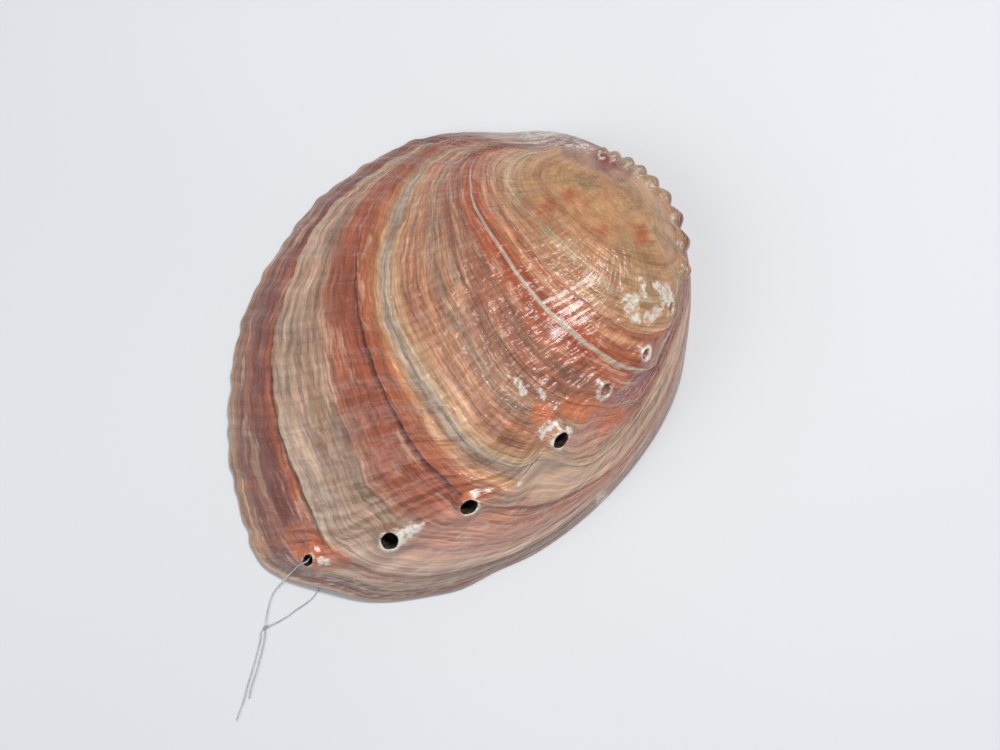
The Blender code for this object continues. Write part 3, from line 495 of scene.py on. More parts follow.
def relief(plan, out, v):
    """Heights of the surface's forms over the bare dome."""
    rows = np.repeat(out[:, None], len(v), axis=1)
    way, wall = ridge_distance(plan, v)
    grown = np.clip((rows - RING_OUT[TRACED]) / (FULL_RELIEF_OUT - RING_OUT[TRACED]), 0, 1)
    wall_share = np.clip((wall - WALL_LENGTHS[0]) / (WALL_LENGTHS[1] - WALL_LENGTHS[0]), 0, 1)
    step_share = np.interp(v, *np.array(STEP_FADE).T)
    wave_share = np.interp(v, *np.array(WAVE_FADE).T)
    height = growth_steps(rows) * step_share
    height += WAVE_HEIGHT * np.cos(2 * math.pi * WAVE_COUNT * v / RIDGE_V) * wave_share * grown
    height += RIDGE_HEIGHT * bump(way, RIDGE_WIDTH) * np.sqrt(grown) * wall_share
    groove_share = np.clip((GROOVE_END[1] - rows) / (GROOVE_END[1] - GROOVE_END[0]), 0, 1) * wall_share ** 2
    height -= GROOVE_DEPTH * bump(way + GROOVE_OFFSET, GROOVE_WIDTH) * grown * groove_share
    for hole, place in zip(HOLES, HOLE_PLACES):
        height += hole[3] * bump(np.linalg.norm(plan - place, axis=-1), hole[4])
    return height


def margin_lift(angle):
    """How far the margin stands off the surface it rests on, by its ray from the spire's tip."""
    lift = np.zeros_like(angle)
    for ray, rise, half in MARGIN_LIFTS:
        off = np.abs((angle - math.radians(ray) + math.pi) % (2 * math.pi) - math.pi)
        lift += rise * (0.5 + 0.5 * np.cos(np.clip(off / math.radians(half), 0, 1) * math.pi))
    return lift


def margin_setup(v):
    """The margin's lift and the shelf's share at each station."""
    angle, _ = polar(net_plan(np.array([1.0]), v)[0], TIP)
    lift = margin_lift(angle)
    ray = (angle - START_RAY) % (2 * math.pi) + START_RAY
    start, end = (math.radians(a) for a in SHELF_RAYS)
    ease = math.radians(SHELF_EASE)
    shelf = np.clip((ray - start) / ease, 0, 1) * np.clip((end - ray) / ease, 0, 1)
    shelf = shelf * shelf * (3 - 2 * shelf)
    return lift, shelf


def outer_skin(out, v):
    """Points of the outside: the dome with its forms, which fade at the margin."""
    plan, share, angle, edge = net_surface(out, v)
    lift, _ = margin_setup(v)
    base = LIP_THICKNESS + lift[None]
    z = base + (SHELL_HEIGHT - LIP_THICKNESS - lift[None]) * dome_fall(share, angle)
    points = np.concatenate([plan, z[..., None]], -1)
    n = outward(plan, share, angle, edge)
    fade = np.clip((1 - out) / MARGIN_FADE, 0, 1)[:, None]
    height = (relief(plan, out, v) + fine_relief(plan, out, v)) * fade
    return points + n * height[..., None]


def inner_skin(shares, v):
    """Points of the inside: rings around the dome's top, out to the lip's or the shelf's start."""
    margin = net_plan(np.array([1.0]), v)[0]
    lift, shelf = margin_setup(v)
    wall = LIP_WIDTH + (BACK_RIM_WIDTH - LIP_WIDTH) * shelf
    low = lift + INNER_LIP_HEIGHT + (SHELF_THICKNESS - INNER_LIP_HEIGHT) * shelf
    angle, edge = polar(margin, DOME_TOP)
    ways = (margin - DOME_TOP) * (1 - wall / edge)[:, None]
    plan = DOME_TOP + shares[:, None, None] * ways
    fall = dome_fall(*np.broadcast_arrays(shares[:, None], angle[None]))
    z = low[None] + (SHELL_HEIGHT - WALL_THICKNESS - low[None]) * fall
    return np.concatenate([plan, z[..., None]], -1)


def rim_rings(v):
    """The underside's rings: the shelf's inner edge above and below, and the outer edge."""
    plan, _, _, edge = net_surface(np.array([1.0]), v)
    lift, shelf = margin_setup(v)
    wall = LIP_WIDTH + (BACK_RIM_WIDTH - LIP_WIDTH) * shelf
    flat_share, edge_share = LIP_FLAT_SHARES
    low = wall * (1 - shelf) * flat_share + (wall + SHELF_WIDTH) * shelf
    high = wall * (1 - shelf) * edge_share + (wall + SHELF_WIDTH) * shelf
    edge_height = INNER_LIP_HEIGHT / 2 + (SHELF_THICKNESS - INNER_LIP_HEIGHT) * shelf * SHELF_EDGE_SHARE

    def ring(inward, z):
        flat = DOME_TOP + (plan[0] - DOME_TOP) * (1 - inward / edge[0])[:, None]
        return np.concatenate([flat, z[:, None]], -1)

    return [ring(high, lift + edge_height), ring(low, lift), ring(np.full(len(v), EDGE_INSET), lift)]


def to_model(points):
    """Photograph plan to the part's own frame: length along X, its middle at the origin."""
    points = np.asarray(points, float)
    c, sn = math.cos(LENGTH_AXIS_ANGLE), math.sin(LENGTH_AXIS_ANGLE)
    x = points[..., 0] * c + points[..., 1] * sn - MODEL_CENTRE[0]
    y = -points[..., 0] * sn + points[..., 1] * c - MODEL_CENTRE[1]
    return np.stack([x, y, points[..., 2]], -1)


def model_centre():
    """The middle of the margin's length and width, seen along the shell's own axes."""
    plan = net_plan(np.array([1.0]), np.linspace(0, 1, MARGIN_POINTS, endpoint=False))[0]
    c, sn = math.cos(LENGTH_AXIS_ANGLE), math.sin(LENGTH_AXIS_ANGLE)
    x = plan[:, 0] * c + plan[:, 1] * sn
    y = -plan[:, 0] * sn + plan[:, 1] * c
    return (x.min() + x.max()) / 2, (y.min() + y.max()) / 2


MODEL_CENTRE = model_centre()


def hole_frame(place, tilt):
    """A hole's middle on the bare dome and the three directions of its ellipse, in the part's frame."""
    normal = dome_normal(place)
    long_way = np.array([math.cos(math.radians(tilt)), math.sin(math.radians(tilt)), 0.0])
    long_way -= normal * np.dot(normal, long_way)
    long_way /= np.linalg.norm(long_way)
    frame = np.array([normal, long_way, np.cross(normal, long_way)])
    turned = to_model(frame) - to_model(np.zeros(3))
    return to_model(np.append(place, dome_height(place))), turned[0], turned[1], turned[2]


OUTSIDE, NACRE, BORE = 0, 1, 2

# Fine forms of the outside, which the solid leaves out: spiral cords, small growth ledges, and the
# wavy margin. Each wave is its count around the shell and its height.
CORD_COUNT = 46
CORD_HEIGHT = 0.00015
CORD_SCALLOP = 0.0007
CORD_ENDS = 0.05
CORDS_PAST_RIDGE = 0.04
LEDGE_STEP = 0.0125
LEDGE_HEIGHT = 0.00014
LEDGE_DRIFT = 0.004
LEDGE_VARIES = 0.4
LEDGE_ENDS, LEDGE_BACK_FADE = 0.03, 0.2
FINE_FROM, FINE_FULL = 0.1, 0.5
UNEVEN_WAVES = ((1.0, 0.5), (2.3, 0.3), (4.1, 0.2))
MARGIN_WAVES = ((33, 0.00022), (19, 0.00016), (51, 0.00010))
MARGIN_WAVE_OUT = 0.93
MARGIN_WAVES_PAST_RIDGE = 0.12
MARGIN_WAVE_ENDS = 0.05

# The fine net: rows out to the margin, more rows beside each rest line, and stations along each
# stretch of a growth line
ROW_COUNT = 155
ROWS_BY_LINES = (-0.004, -0.0015, 0.0015, 0.004, 0.008)
STATION_STRETCHES = ((0, 0.06, 22), (0.06, 0.55, 118), (0.55, 0.64, 44), (0.64, BACK_V, 50),
                     (BACK_V, 1.0, 56))

# Rims of the holes and knobs of the spire: the rim's profile around a mouth, how far a knob reaches,
# how much longer it is towards the tip and how high it stands, each in its own radii, and how far
# around them the net is made finer
RIM_ROUND = 0.0007
RIM_NEAR = 0.012
RIM_FLARE = 0.62
RIM_DROP = 220.0
RIM_CREST, CREST_OUT, CREST_WIDTH = 0.00025, 0.0002, 0.0004
RIM_BLEND = 0.0010
KNOB_REACH = 2.3
KNOB_STRETCH = 2.6
KNOB_RISE = 1.35
REFINE_KNOBS = 0.0052
REFINE_HOLES = (0.0058, 0.0038)
SPIRE_REACH = 0.024
SPIRE_PASSES = 25
CUTTER_SIDES = 40
CUTTER_WOBBLE = 0.05
SHARP_EDGE = math.radians(60)


def uneven(t, seed):
    """A smooth uneven line between about -1 and 1, the same each time."""
    total = np.zeros_like(t)
    for k, (rate, share) in enumerate(UNEVEN_WAVES):
        total += share * np.sin(2 * math.pi * rate * t + seed * 1.7 + k * 2.1)
    return total


def fine_relief(plan, out, v):
    """Forms finer than the solid's: ledges along the growth lines and cords across them."""
    rows = np.repeat(out[:, None], len(v), axis=1)
    columns = np.repeat(v[None], len(out), axis=0)
    cord_phase = 2 * math.pi * CORD_COUNT * columns / RIDGE_V
    drifted = rows + LEDGE_DRIFT * uneven(columns * 3, 1.0) + CORD_SCALLOP * np.cos(cord_phase)
    place = drifted / LEDGE_STEP
    ledge = (place - np.floor(place)) ** 2
    strength = 1 - LEDGE_VARIES + LEDGE_VARIES * uneven(np.floor(place) * 0.37, 2.0)
    grown = np.clip((rows - FINE_FROM) / (FINE_FULL - FINE_FROM), 0, 1)
    ends = np.clip(np.minimum(columns, 1 - columns) / LEDGE_ENDS, 0, 1)
    ends = ends * np.clip((1 - columns) / LEDGE_BACK_FADE, 0, 1)
    height = LEDGE_HEIGHT * ledge * strength * grown * ends
    crown = np.clip((RIDGE_V + CORDS_PAST_RIDGE - columns) / CORD_ENDS, 0, 1)
    crown = crown * np.clip(columns / CORD_ENDS, 0, 1)
    return height + CORD_HEIGHT * np.cos(cord_phase) * crown * grown


def wave_margin(ring, v, share):
    """Moves a ring in and out along the gently wavy margin."""
    wave = sum(size * np.sin(2 * math.pi * count * v + count) for count, size in MARGIN_WAVES)
    ends = np.clip(np.minimum(v, RIDGE_V + MARGIN_WAVES_PAST_RIDGE - v) / MARGIN_WAVE_ENDS, 0, 1)
    wave = wave * ends * share
    way = ring[:, :2] - DOME_TOP
    ring[:, :2] += way / np.linalg.norm(way, axis=1, keepdims=True) * wave[:, None]


def fine_rows():
    """Shares out of the way to the margin, closer together at the rest lines."""
    near_lines = [line + off for line, *_ in REST_LINES for off in ROWS_BY_LINES]
    return np.unique(np.round(np.concatenate([np.linspace(0, 1, ROW_COUNT), near_lines]), 4))


def fine_stations():
    return np.concatenate([np.linspace(a, b, n, endpoint=False) for a, b, n in STATION_STRETCHES])


def net_corners(rings, sides):
    """Quads and end triangles of a closed form of rings between two poles, as corner numbers, with
    each corner's ring and station."""
    side = np.arange(sides)
    after = (side + 1) % sides
    last = 2 + (rings - 1) * sides
    faces = []
    corners = []
    for a in range(2, last, sides):
        ring = (a - 2) // sides
        for s, k in zip(side, after):
            faces.append((a + s, a + sides + s, a + sides + k, a + k))
            corners += [(ring, s), (ring + 1, s), (ring + 1, s + 1), (ring, s + 1)]
    for s, k in zip(side, after):
        faces.append((0, 2 + s, 2 + k))
        corners += [(0, s), (0, s), (0, s + 1)]
        faces.append((1, last + k, last + s))
        corners += [(rings - 1, s + 1), (rings - 1, s + 1), (rings - 1, s)]
    return faces, np.array(corners)


def fine_shell():
    """The whole shell on the fine net, before its holes, with the growth lines' own coordinates."""
    out, v = fine_rows(), fine_stations()
    outside = outer_skin(out, v)
    inside = inner_skin(INNER_SHARES, v)
    rims = rim_rings(v)
    for ring, share in zip(outside, np.clip((out - MARGIN_WAVE_OUT) / (1 - MARGIN_WAVE_OUT), 0, 1)):
        wave_margin(ring, v, share)
    for ring in (*rims, inside[-1]):
        wave_margin(ring, v, 1.0)
    rings = [*outside[1:], *rims[::-1], *inside[:0:-1]]
    verts = to_model(np.concatenate([outside[0, :1], inside[0, :1], *rings]))
    faces, corners = net_corners(len(rings), len(v))
    ring_out = np.concatenate([out[1:], np.ones(len(rings) - len(out) + 1)])
    growth = np.stack([ring_out[corners[:, 0]], np.append(v, 1.0)[corners[:, 1]]], -1)
    mesh = bpy.data.meshes.new("abalone")
    mesh.from_pydata(verts.tolist(), [], faces)
    layer = mesh.uv_layers.new(name="growth")
    layer.uv.foreach_set("vector", growth.ravel())
    for mat in (OutsideLook().build(), nacre_material(), bore_material()):
        mesh.materials.append(mat)
    first_inner = 2 + (len(out[1:]) + 3) * len(v)
    lowest = np.array([max(face) for face in faces])
    inner_pole = np.array([min(face) for face in faces]) == 1
    index = np.where((lowest >= first_inner) | inner_pole, NACRE, OUTSIDE)
    mesh.polygons.foreach_set("material_index", index.astype(np.int32))
    return mesh


def refine(bm, middles, radius):
    """Halves the outside's faces near any of the points."""
    near = []
    middles = np.array(middles)
    outside = [face for face in bm.faces if face.material_index == OUTSIDE]
    centres = np.array([face.calc_center_median()[:] for face in outside])
    for middle in middles:
        near.append(np.linalg.norm(centres - middle, axis=1) < radius)
    chosen = np.any(near, axis=0)
    edges = {edge for face, take in zip(outside, chosen) if take for edge in face.edges}
    bmesh.ops.subdivide_edges(bm, edges=list(edges), cuts=1, use_grid_fill=True)


def soften_spire(bm):
    """Rounds the fold that runs down from the spire's tip, where the net is closest."""
    tip = mathutils.Vector(to_model(np.append(TIP, dome_height(TIP))))
    near = [vert for vert in bm.verts if (vert.co - tip).length < SPIRE_REACH
            and all(face.material_index == OUTSIDE for face in vert.link_faces)]
    for _ in range(SPIRE_PASSES):
        bmesh.ops.smooth_vert(bm, verts=near, factor=0.5, use_axis_x=True, use_axis_y=True, use_axis_z=True)


def smooth_most(a, b, blend):
    """The larger of two heights, with the crease between them rounded."""
    h = np.clip(0.5 + 0.5 * (a - b) / blend, 0, 1)
    return b + (a - b) * h + blend * h * (1 - h)


def rim_form(around, stand, is_open):
    """Height of a hole's grown rim by the way out from its mouth's edge."""
    fall = np.maximum(around - COLLAR_WIDTH, 0)
    height = stand - RIM_FLARE * fall - RIM_DROP * fall * fall
    height += RIM_CREST * bump(around - CREST_OUT, CREST_WIDTH)
    if not is_open:
        pit = np.clip(-around / RIM_ROUND, 0, 1)
        height -= PIT_DEPTH * pit * pit * (3 - 2 * pit)
    return height


def raise_rims(points):
    """Lifts the outside's points near each hole onto its rim."""
    for hole, place in zip(HOLES, HOLE_PLACES):
        _, is_open, _, _, _, stand, long, short, tilt = hole
        centre, normal, long_way, across = hole_frame(place, tilt)
        off = points - centre
        h, a, b = off @ normal, off @ long_way, off @ across
        reach_out = np.hypot(a, b)
        share = np.hypot(a / (long / 2), b / (short / 2))
        around = reach_out * (1 - 1 / np.maximum(share, 1e-6))
        around = np.where(share < 1e-6, -short / 2, around)
        near = np.linalg.norm(off, axis=1) < RIM_NEAR
        target = rim_form(around, stand, is_open)
        if is_open:
            new = smooth_most(target, h, RIM_BLEND)
        else:
            inside = np.clip(1 - around / COLLAR_WIDTH, 0, 1)
            new = smooth_most(target, h, RIM_BLEND) * (1 - inside) + target * inside
        points[near] += (normal * (new - h)[:, None])[near]


def raise_knobs(points, normals):
    """Lifts the outside's points near the spire's edge into a row of knobs, longer towards the spire."""
    tip = to_model(np.append(TIP, dome_height(TIP)))
    lift = np.zeros(len(points))
    for px, height, diameter in NODULES:
        middle = to_model(np.append(unproject(px, height), height))
        towards = (tip - middle) / np.linalg.norm(tip - middle)
        off = points - middle
        along = off @ towards
        side = off - along[:, None] * towards
        stretched = np.where(along > 0, along / KNOB_STRETCH, along)
        way = np.hypot(stretched, np.linalg.norm(side, axis=1))
        bell = 0.5 + 0.5 * np.cos(math.pi * np.clip(way / (KNOB_REACH * diameter / 2), 0, 1))
        lift = np.maximum(lift, bell * diameter / 2 * KNOB_RISE)
    points += normals * lift[:, None]


def hole_cutter():
    """All open holes' bores as one object."""
    verts, faces = [], []
    for hole, place in zip(HOLES, HOLE_PLACES):
        _, is_open, _, _, _, stand, long, short, tilt = hole
        if not is_open:
            continue
        centre, normal, long_way, across = hole_frame(place, tilt)
        base = stand - COLLAR_DEPTH
        rings = ((-HOLE_DEPTH, BORE_FLARE), (base, BORE_WAIST), (stand + MOUTH_CLEARANCE, 1.0))
        first = len(verts)
        for height, share in rings:
            for i in range(CUTTER_SIDES):
                t = 2 * math.pi * i / CUTTER_SIDES
                wobble = math.sin(3 * t + stand * 4000) * math.cos(2 * t + long * 3000)
                size = share * (1 + CUTTER_WOBBLE * wobble) / 2
                along, aside = long * size * math.cos(t), short * size * math.sin(t)
                verts.append(centre + normal * height + long_way * along + across * aside)
        faces.append([first + i for i in reversed(range(CUTTER_SIDES))])
        faces.append([first + 2 * CUTTER_SIDES + i for i in range(CUTTER_SIDES)])
        for ring in range(2):
            for i in range(CUTTER_SIDES):
                a = first + ring * CUTTER_SIDES + i
                b = first + ring * CUTTER_SIDES + (i + 1) % CUTTER_SIDES
                faces.append((a, b, b + CUTTER_SIDES, a + CUTTER_SIDES))
    mesh = bpy.data.meshes.new("bores")
    mesh.from_pydata([tuple(p) for p in verts], [], faces)
    for _ in range(3):
        mesh.materials.append(None)
    mesh.polygons.foreach_set("material_index", [BORE] * len(mesh.polygons))
    cutter = bpy.data.objects.new("bores", mesh)
    bpy.context.collection.objects.link(cutter)
    return cutter


def read_points(mesh, name="co"):
    """A mesh's points, or their normals, as rows of three."""
    values = np.zeros(len(mesh.vertices) * 3)
    mesh.vertices.foreach_get(name, values)
    return values.reshape(-1, 3)


def make_shell():
    mesh = fine_shell()
    bm = bmesh.new()
    bm.from_mesh(mesh)
    bmesh.ops.recalc_face_normals(bm, faces=bm.faces)
    hole_middles = [hole_frame(place, 0)[0] for place in HOLE_PLACES]
    knob_middles = [to_model(np.append(unproject(px, height), height)) for px, height, _ in NODULES]
    soften_spire(bm)
    refine(bm, knob_middles, REFINE_KNOBS)
    for radius in REFINE_HOLES:
        refine(bm, hole_middles, radius)
    bm.normal_update()
    bm.to_mesh(mesh)
    bm.free()
    points, normals = read_points(mesh), read_points(mesh, "normal")
    outside = np.zeros(len(points), bool)
    for face in mesh.polygons:
        if face.material_index == OUTSIDE:
            outside[list(face.vertices)] = True
    skin = points[outside]
    raise_knobs(skin, normals[outside])
    raise_rims(skin)
    points[outside] = skin
    mesh.vertices.foreach_set("co", points.ravel())
    mesh.update()
    shell = bpy.data.objects.new("abalone_shell", mesh)
    bpy.context.collection.objects.link(shell)
    cutter = hole_cutter()
    mod = shell.modifiers.new("bores", "BOOLEAN")
    mod.operation = "DIFFERENCE"
    mod.object = cutter
    mod.solver = "EXACT"
    depsgraph = bpy.context.evaluated_depsgraph_get()
    cut = bpy.data.meshes.new_from_object(shell.evaluated_get(depsgraph))
    shell.modifiers.clear()
    shell.data = cut
    bpy.data.objects.remove(cutter)
    cut.shade_smooth()
    cut.set_sharp_from_angle(angle=SHARP_EDGE)
    return shell


def linear(rgb):
    """An sRGB colour in 0 to 255 as linear light."""
    share = np.array(rgb) / 255
    value = np.where(share <= 0.04045, share / 12.92, ((share + 0.055) / 1.055) ** 2.4)
    return (*[float(x) for x in value], 1.0)


# The most colours that one ramp is given
RAMP_STOPS = 30


class Graph:
    """A material's nodes, added one call at a time. Three plain numbers are an sRGB colour."""

    def __init__(self, name):
        self.material = bpy.data.materials.new(name)
        self.material.use_nodes = True
        self.tree = self.material.node_tree
        self.shader = self.tree.nodes["Principled BSDF"]
        self.place = self.tree.nodes.new("ShaderNodeTexCoord").outputs["Object"]

    def put(self, socket, value):
        if isinstance(value, bpy.types.NodeSocket):
            self.tree.links.new(value, socket)
        elif isinstance(value, tuple):
            socket.default_value = linear(value)
        else:
            socket.default_value = value

    def set(self, name, value):
        self.put(self.shader.inputs[name], value)

    def math(self, operation, a, b=0.0, c=None):
        node = self.tree.nodes.new("ShaderNodeMath")
        node.operation = operation
        self.put(node.inputs[0], a)
        self.put(node.inputs[1], b)
        if c is not None:
            self.put(node.inputs[2], c)
        return node.outputs[0]

    def times(self, a, b):
        return self.math("MULTIPLY", a, b)

    def scaled(self, a, rate, start):
        return self.math("MULTIPLY_ADD", a, rate, start)

    def vector(self, x, y, z):
        node = self.tree.nodes.new("ShaderNodeCombineXYZ")
        for socket, value in zip(node.inputs, (x, y, z)):
            self.put(socket, value)
        return node.outputs[0]

    def split(self, vector):
        node = self.tree.nodes.new("ShaderNodeSeparateXYZ")
        self.put(node.inputs[0], vector)
        return node.outputs

    def noise(self, vector, scale=1.0, detail=2.0, roughness=0.5, distortion=0.0):
        node = self.tree.nodes.new("ShaderNodeTexNoise")
        for name, value in (("Vector", vector), ("Scale", scale), ("Detail", detail),
                            ("Roughness", roughness), ("Distortion", distortion)):
            self.put(node.inputs[name], value)
        return node.outputs["Fac"]

    def rerange(self, value, low, high, to_low=0.0, to_high=1.0, smooth=True):
        node = self.tree.nodes.new("ShaderNodeMapRange")
        node.interpolation_type = "SMOOTHSTEP" if smooth else "LINEAR"
        for socket, number in zip(node.inputs, (value, low, high, to_low, to_high)):
            self.put(socket, number)
        return node.outputs[0]

    def mix(self, share, a, b, blend="MIX"):
        node = self.tree.nodes.new("ShaderNodeMix")
        node.data_type = "RGBA"
        node.blend_type = blend
        self.put(node.inputs["Factor"], share)
        self.put(node.inputs[6], a)
        self.put(node.inputs[7], b)
        return node.outputs[2]

    def ramp(self, value, stops):
        """Colours along a value; a list longer than one ramp holds goes on in a second one."""
        node = self.tree.nodes.new("ShaderNodeValToRGB")
        part, rest = stops[:RAMP_STOPS], stops[RAMP_STOPS - 1:]
        elements = node.color_ramp.elements
        elements[0].position, elements[0].color = part[0][0], linear(part[0][1])
        elements[1].position, elements[1].color = part[-1][0], linear(part[-1][1])
        for place, colour in part[1:-1]:
            elements.new(place).color = linear(colour)
        self.put(node.inputs[0], value)
        if len(rest) < 2:
            return node.outputs[0]
        further = self.math("GREATER_THAN", value, rest[0][0])
        return self.mix(further, node.outputs[0], self.ramp(value, rest))

    def line(self, value, middle, inner, outer):
        """1 on a thin line and 0 away from it, with its own fall on each side."""
        rise = self.rerange(value, middle - inner, middle)
        fall = self.rerange(value, middle, middle + outer, 1.0, 0.0)
        return self.times(rise, fall)

    def bump(self, height, distance, under=None):
        node = self.tree.nodes.new("ShaderNodeBump")
        self.put(node.inputs["Strength"], 1.0)
        self.put(node.inputs["Distance"], distance)
        self.put(node.inputs["Height"], height)
        if under is not None:
            self.put(node.inputs["Normal"], under)
        return node.outputs[0]


# Colours along the crown from the spire's tip to the margin, and below the row of holes
CROWN_COLOURS = (
    (0.00, (166, 120, 84)), (0.05, (184, 138, 96)), (0.12, (186, 138, 94)), (0.145, (168, 118, 80)),
    (0.16, (190, 142, 98)), (0.20, (176, 134, 98)), (0.213, (192, 170, 138)), (0.225, (182, 138, 98)),
    (0.265, (188, 140, 104)), (0.275, (202, 146, 110)), (0.285, (168, 94, 64)), (0.298, (198, 142, 106)),
    (0.312, (182, 112, 76)), (0.330, (164, 82, 54)), (0.350, (158, 76, 50)), (0.375, (172, 100, 68)),
    (0.395, (146, 100, 78)), (0.415, (160, 100, 76)), (0.435, (172, 124, 98)), (0.447, (146, 98, 78)),
    (0.475, (172, 122, 94)), (0.505, (152, 120, 98)), (0.535, (188, 132, 98)), (0.575, (176, 122, 94)),
    (0.600, (190, 140, 102)), (0.618, (196, 162, 126)), (0.632, (176, 158, 138)), (0.645, (168, 146, 124)),
    (0.655, (188, 136, 94)), (0.668, (174, 106, 72)), (0.690, (164, 88, 56)), (0.705, (150, 80, 56)),
    (0.740, (162, 90, 64)), (0.768, (168, 106, 80)), (0.788, (154, 126, 104)), (0.805, (170, 132, 106)),
    (0.822, (186, 154, 128)), (0.835, (160, 128, 112)), (0.850, (188, 160, 134)), (0.862, (172, 144, 126)),
    (0.876, (194, 172, 146)), (0.886, (136, 76, 58)), (0.894, (172, 96, 64)),
    (0.908, (134, 80, 70)), (0.930, (122, 80, 74)), (0.950, (150, 104, 88)), (0.966, (124, 84, 78)),
    (0.985, (160, 124, 102)), (1.00, (184, 152, 126)),
)
WALL_COLOURS = (
    (0.00, (176, 130, 96)), (0.20, (170, 120, 96)), (0.30, (152, 86, 78)), (0.34, (176, 146, 126)),
    (0.36, (142, 72, 72)), (0.42, (162, 94, 84)), (0.435, (182, 150, 126)), (0.46, (154, 84, 78)),
    (0.54, (196, 130, 100)), (0.60, (208, 156, 122)), (0.64, (196, 162, 134)), (0.68, (208, 168, 138)),
    (0.71, (208, 144, 114)), (0.76, (202, 142, 118)), (0.82, (202, 152, 132)), (0.87, (200, 172, 152)),
    (0.90, (166, 126, 114)), (0.93, (172, 152, 132)), (0.96, (144, 110, 104)), (0.985, (164, 132, 116)),
    (1.00, (180, 150, 132)),
)

# Noises of the outside, each its rate outwards and around, where it starts, its detail and roughness
WANDER = (9, 4.5, 0.0, 4, 0.6)
WALL_WANDER = (11, 16, 3.0, 5, 0.65)
STREAKS = (200, 3.0, 0.0, 2, 0.55)
BROAD_STREAKS = (70, 2.2, 5.0, 2, 0.55)
HAIRLINES = (430, 3.0, 31.0, 1, 0.5)
TINTS = (46, 1.8, 21.0, 3, 0.7)
RAYS = (10, 24, 40.0, 3, 0.6)
CORDS = (9, 34, 2.0, 1, 0.5)
MOTTLE = (70, 55, 9.0, 4, 0.7)
GLOSS = (60, 30, 0.0, 3, 0.6)
SWELL = (30, 9, 4.0, 2, 0.5)

# How far the bands wander on the crown and on the wall, and where the wall's colours take over
CROWN_SHIFT = 0.020
WALL_SHIFT = 0.07
WALL_EDGE_SHIFT = 0.03
WALL_FROM = (RIDGE_V + 0.004, RIDGE_V + 0.028)
WALL_OUT = (0.27, 0.33)
CORD_OUT = (0.2, 0.5)

# Stains on the bands, and on the spire: the noise, its range that shows, how strongly, and the colour.
# The spire's noises are a scale, a roughness and a distortion.
STAINS = (((5, 3.2, 7.0, 3, 0.55), (0.52, 0.72), 0.35, (186, 120, 84)),
          ((8, 4.5, 11.0, 4, 0.6), (0.55, 0.75), 0.38, (146, 124, 112)))
RUDDY = (84, 0.6, 0.9)
SPIRE_STAINS = (((62, 0.62, 0.6), (0.46, 0.66), 0.9, (142, 112, 76)),
                (RUDDY, (0.50, 0.66), 0.8, (168, 92, 58)))
SPIRE_FADE = (0.16, 0.30)
TOP_STAIN = ((0.02, 0.14), (0.25, 0.5), 0.4, (158, 104, 100))

# Pale and dark tints along broad lines: the noise's range that shows, how strongly, and the colour
LINE_TINTS = (((0.55, 0.63), 0.46, (212, 174, 144)), ((0.46, 0.39), 0.42, (134, 66, 42)))
TINT_FADE = (0.10, 0.30, 0.25, 1.0)

# Tones of lines: a noise's range, and the range of tones that it gives
STREAK_TONES = (0.32, 0.68, 0.74, 1.22)
BROAD_TONES = (0.3, 0.7, 0.74, 1.24)
HAIRLINE_TONES = (0.3, 0.7, 0.88, 1.10)
LINE_FADE = (0.08, 0.30, 0.55, 1.0)
RAY_TONES = (0.34, 0.66, -0.17, 0.17)
RAY_DISTORTION = 0.4
RAY_FADE = (0.18, 0.32, 1.0, 0.12)
CORD_TONES = (0.3, 0.7, -0.05, 0.05)
CORD_TONE_OUT = (0.04, 0.3)
CORD_WAVE_TONE = 0.045

# Thin lines: how far out, the widths inside and outside, and each dark line's strength
PALE_LINE = (0.341, 0.0055, 0.0065)
PALE_LINE_FROM = (0.06, 0.12)
PALE_LINE_STRENGTH = 0.9
PALE_LINE_WANDER, DARK_LINE_WANDER = 0.25, 0.3
DARK_LINES = ((0.145, 0.004, 0.005, 0.12), (0.2785, 0.003, 0.004, 0.5), (0.699, 0.004, 0.006, 0.6),
              (0.884, 0.003, 0.005, 0.5))
DARK_LINE_ON_WALL = -0.75
MOTTLE_SHOWS = (0.48, 0.66, 0.0, 0.55)

# Patches of wear and painted highlights, which share one mask and one white: the noise that breaks
# their edges, the ranges of their mask that show, and how strongly; and how strongly the pits show
PATCH_EDGE = (560, 4, 0.7)
PATCH_EDGE_TONES = (0.32, 0.68, -0.40, 0.40)
WORN_AND_GLINT_SHOWS = (0.25, 0.95)
WORN_AND_GLINT_INSIDE = (0.03, 0.30)
WORN_AND_GLINT_STRENGTH = 0.95
PIT_STRENGTH = 0.8

# Purple and orange stains: the mask's value where one is full, how strongly it shows, the range of the
# ruddy noise that breaks it up, and its colour
MASK_STAINS = ((1.0, 0.85, (0.34, 0.58, 0.3, 1.0), (118, 54, 50)),
               (-1.0, 0.7, (0.34, 0.56, 0.35, 1.0), (204, 110, 64)))

PALE_LINE_COLOUR = (198, 194, 168)
MOTTLE_COLOUR = (206, 186, 174)
DARK_LINE_COLOUR = (84, 40, 30)
# The white of wear, also used for painted highlights on the crests, the crown and the lip
WORN_AND_GLINT_COLOUR = (228, 222, 208)
PIT_COLOUR = (98, 44, 36)

# Gloss, the relief too fine for the mesh, and the shares of fine and broad lines in it
GLOSS_RANGE = (0.3, 0.7, 0.20, 0.38)
WALL_DULLER = 0.16
SWELL_HEIGHT = 0.0018
LINE_HEIGHT = 0.00034
CORD_BUMP = 0.00016
BUMP_OUT = (0.05, 0.3)
COAT, COAT_ROUGHNESS = 0.35, 0.12
FINE_LINES, BROAD_LINES = 0.6, 0.4


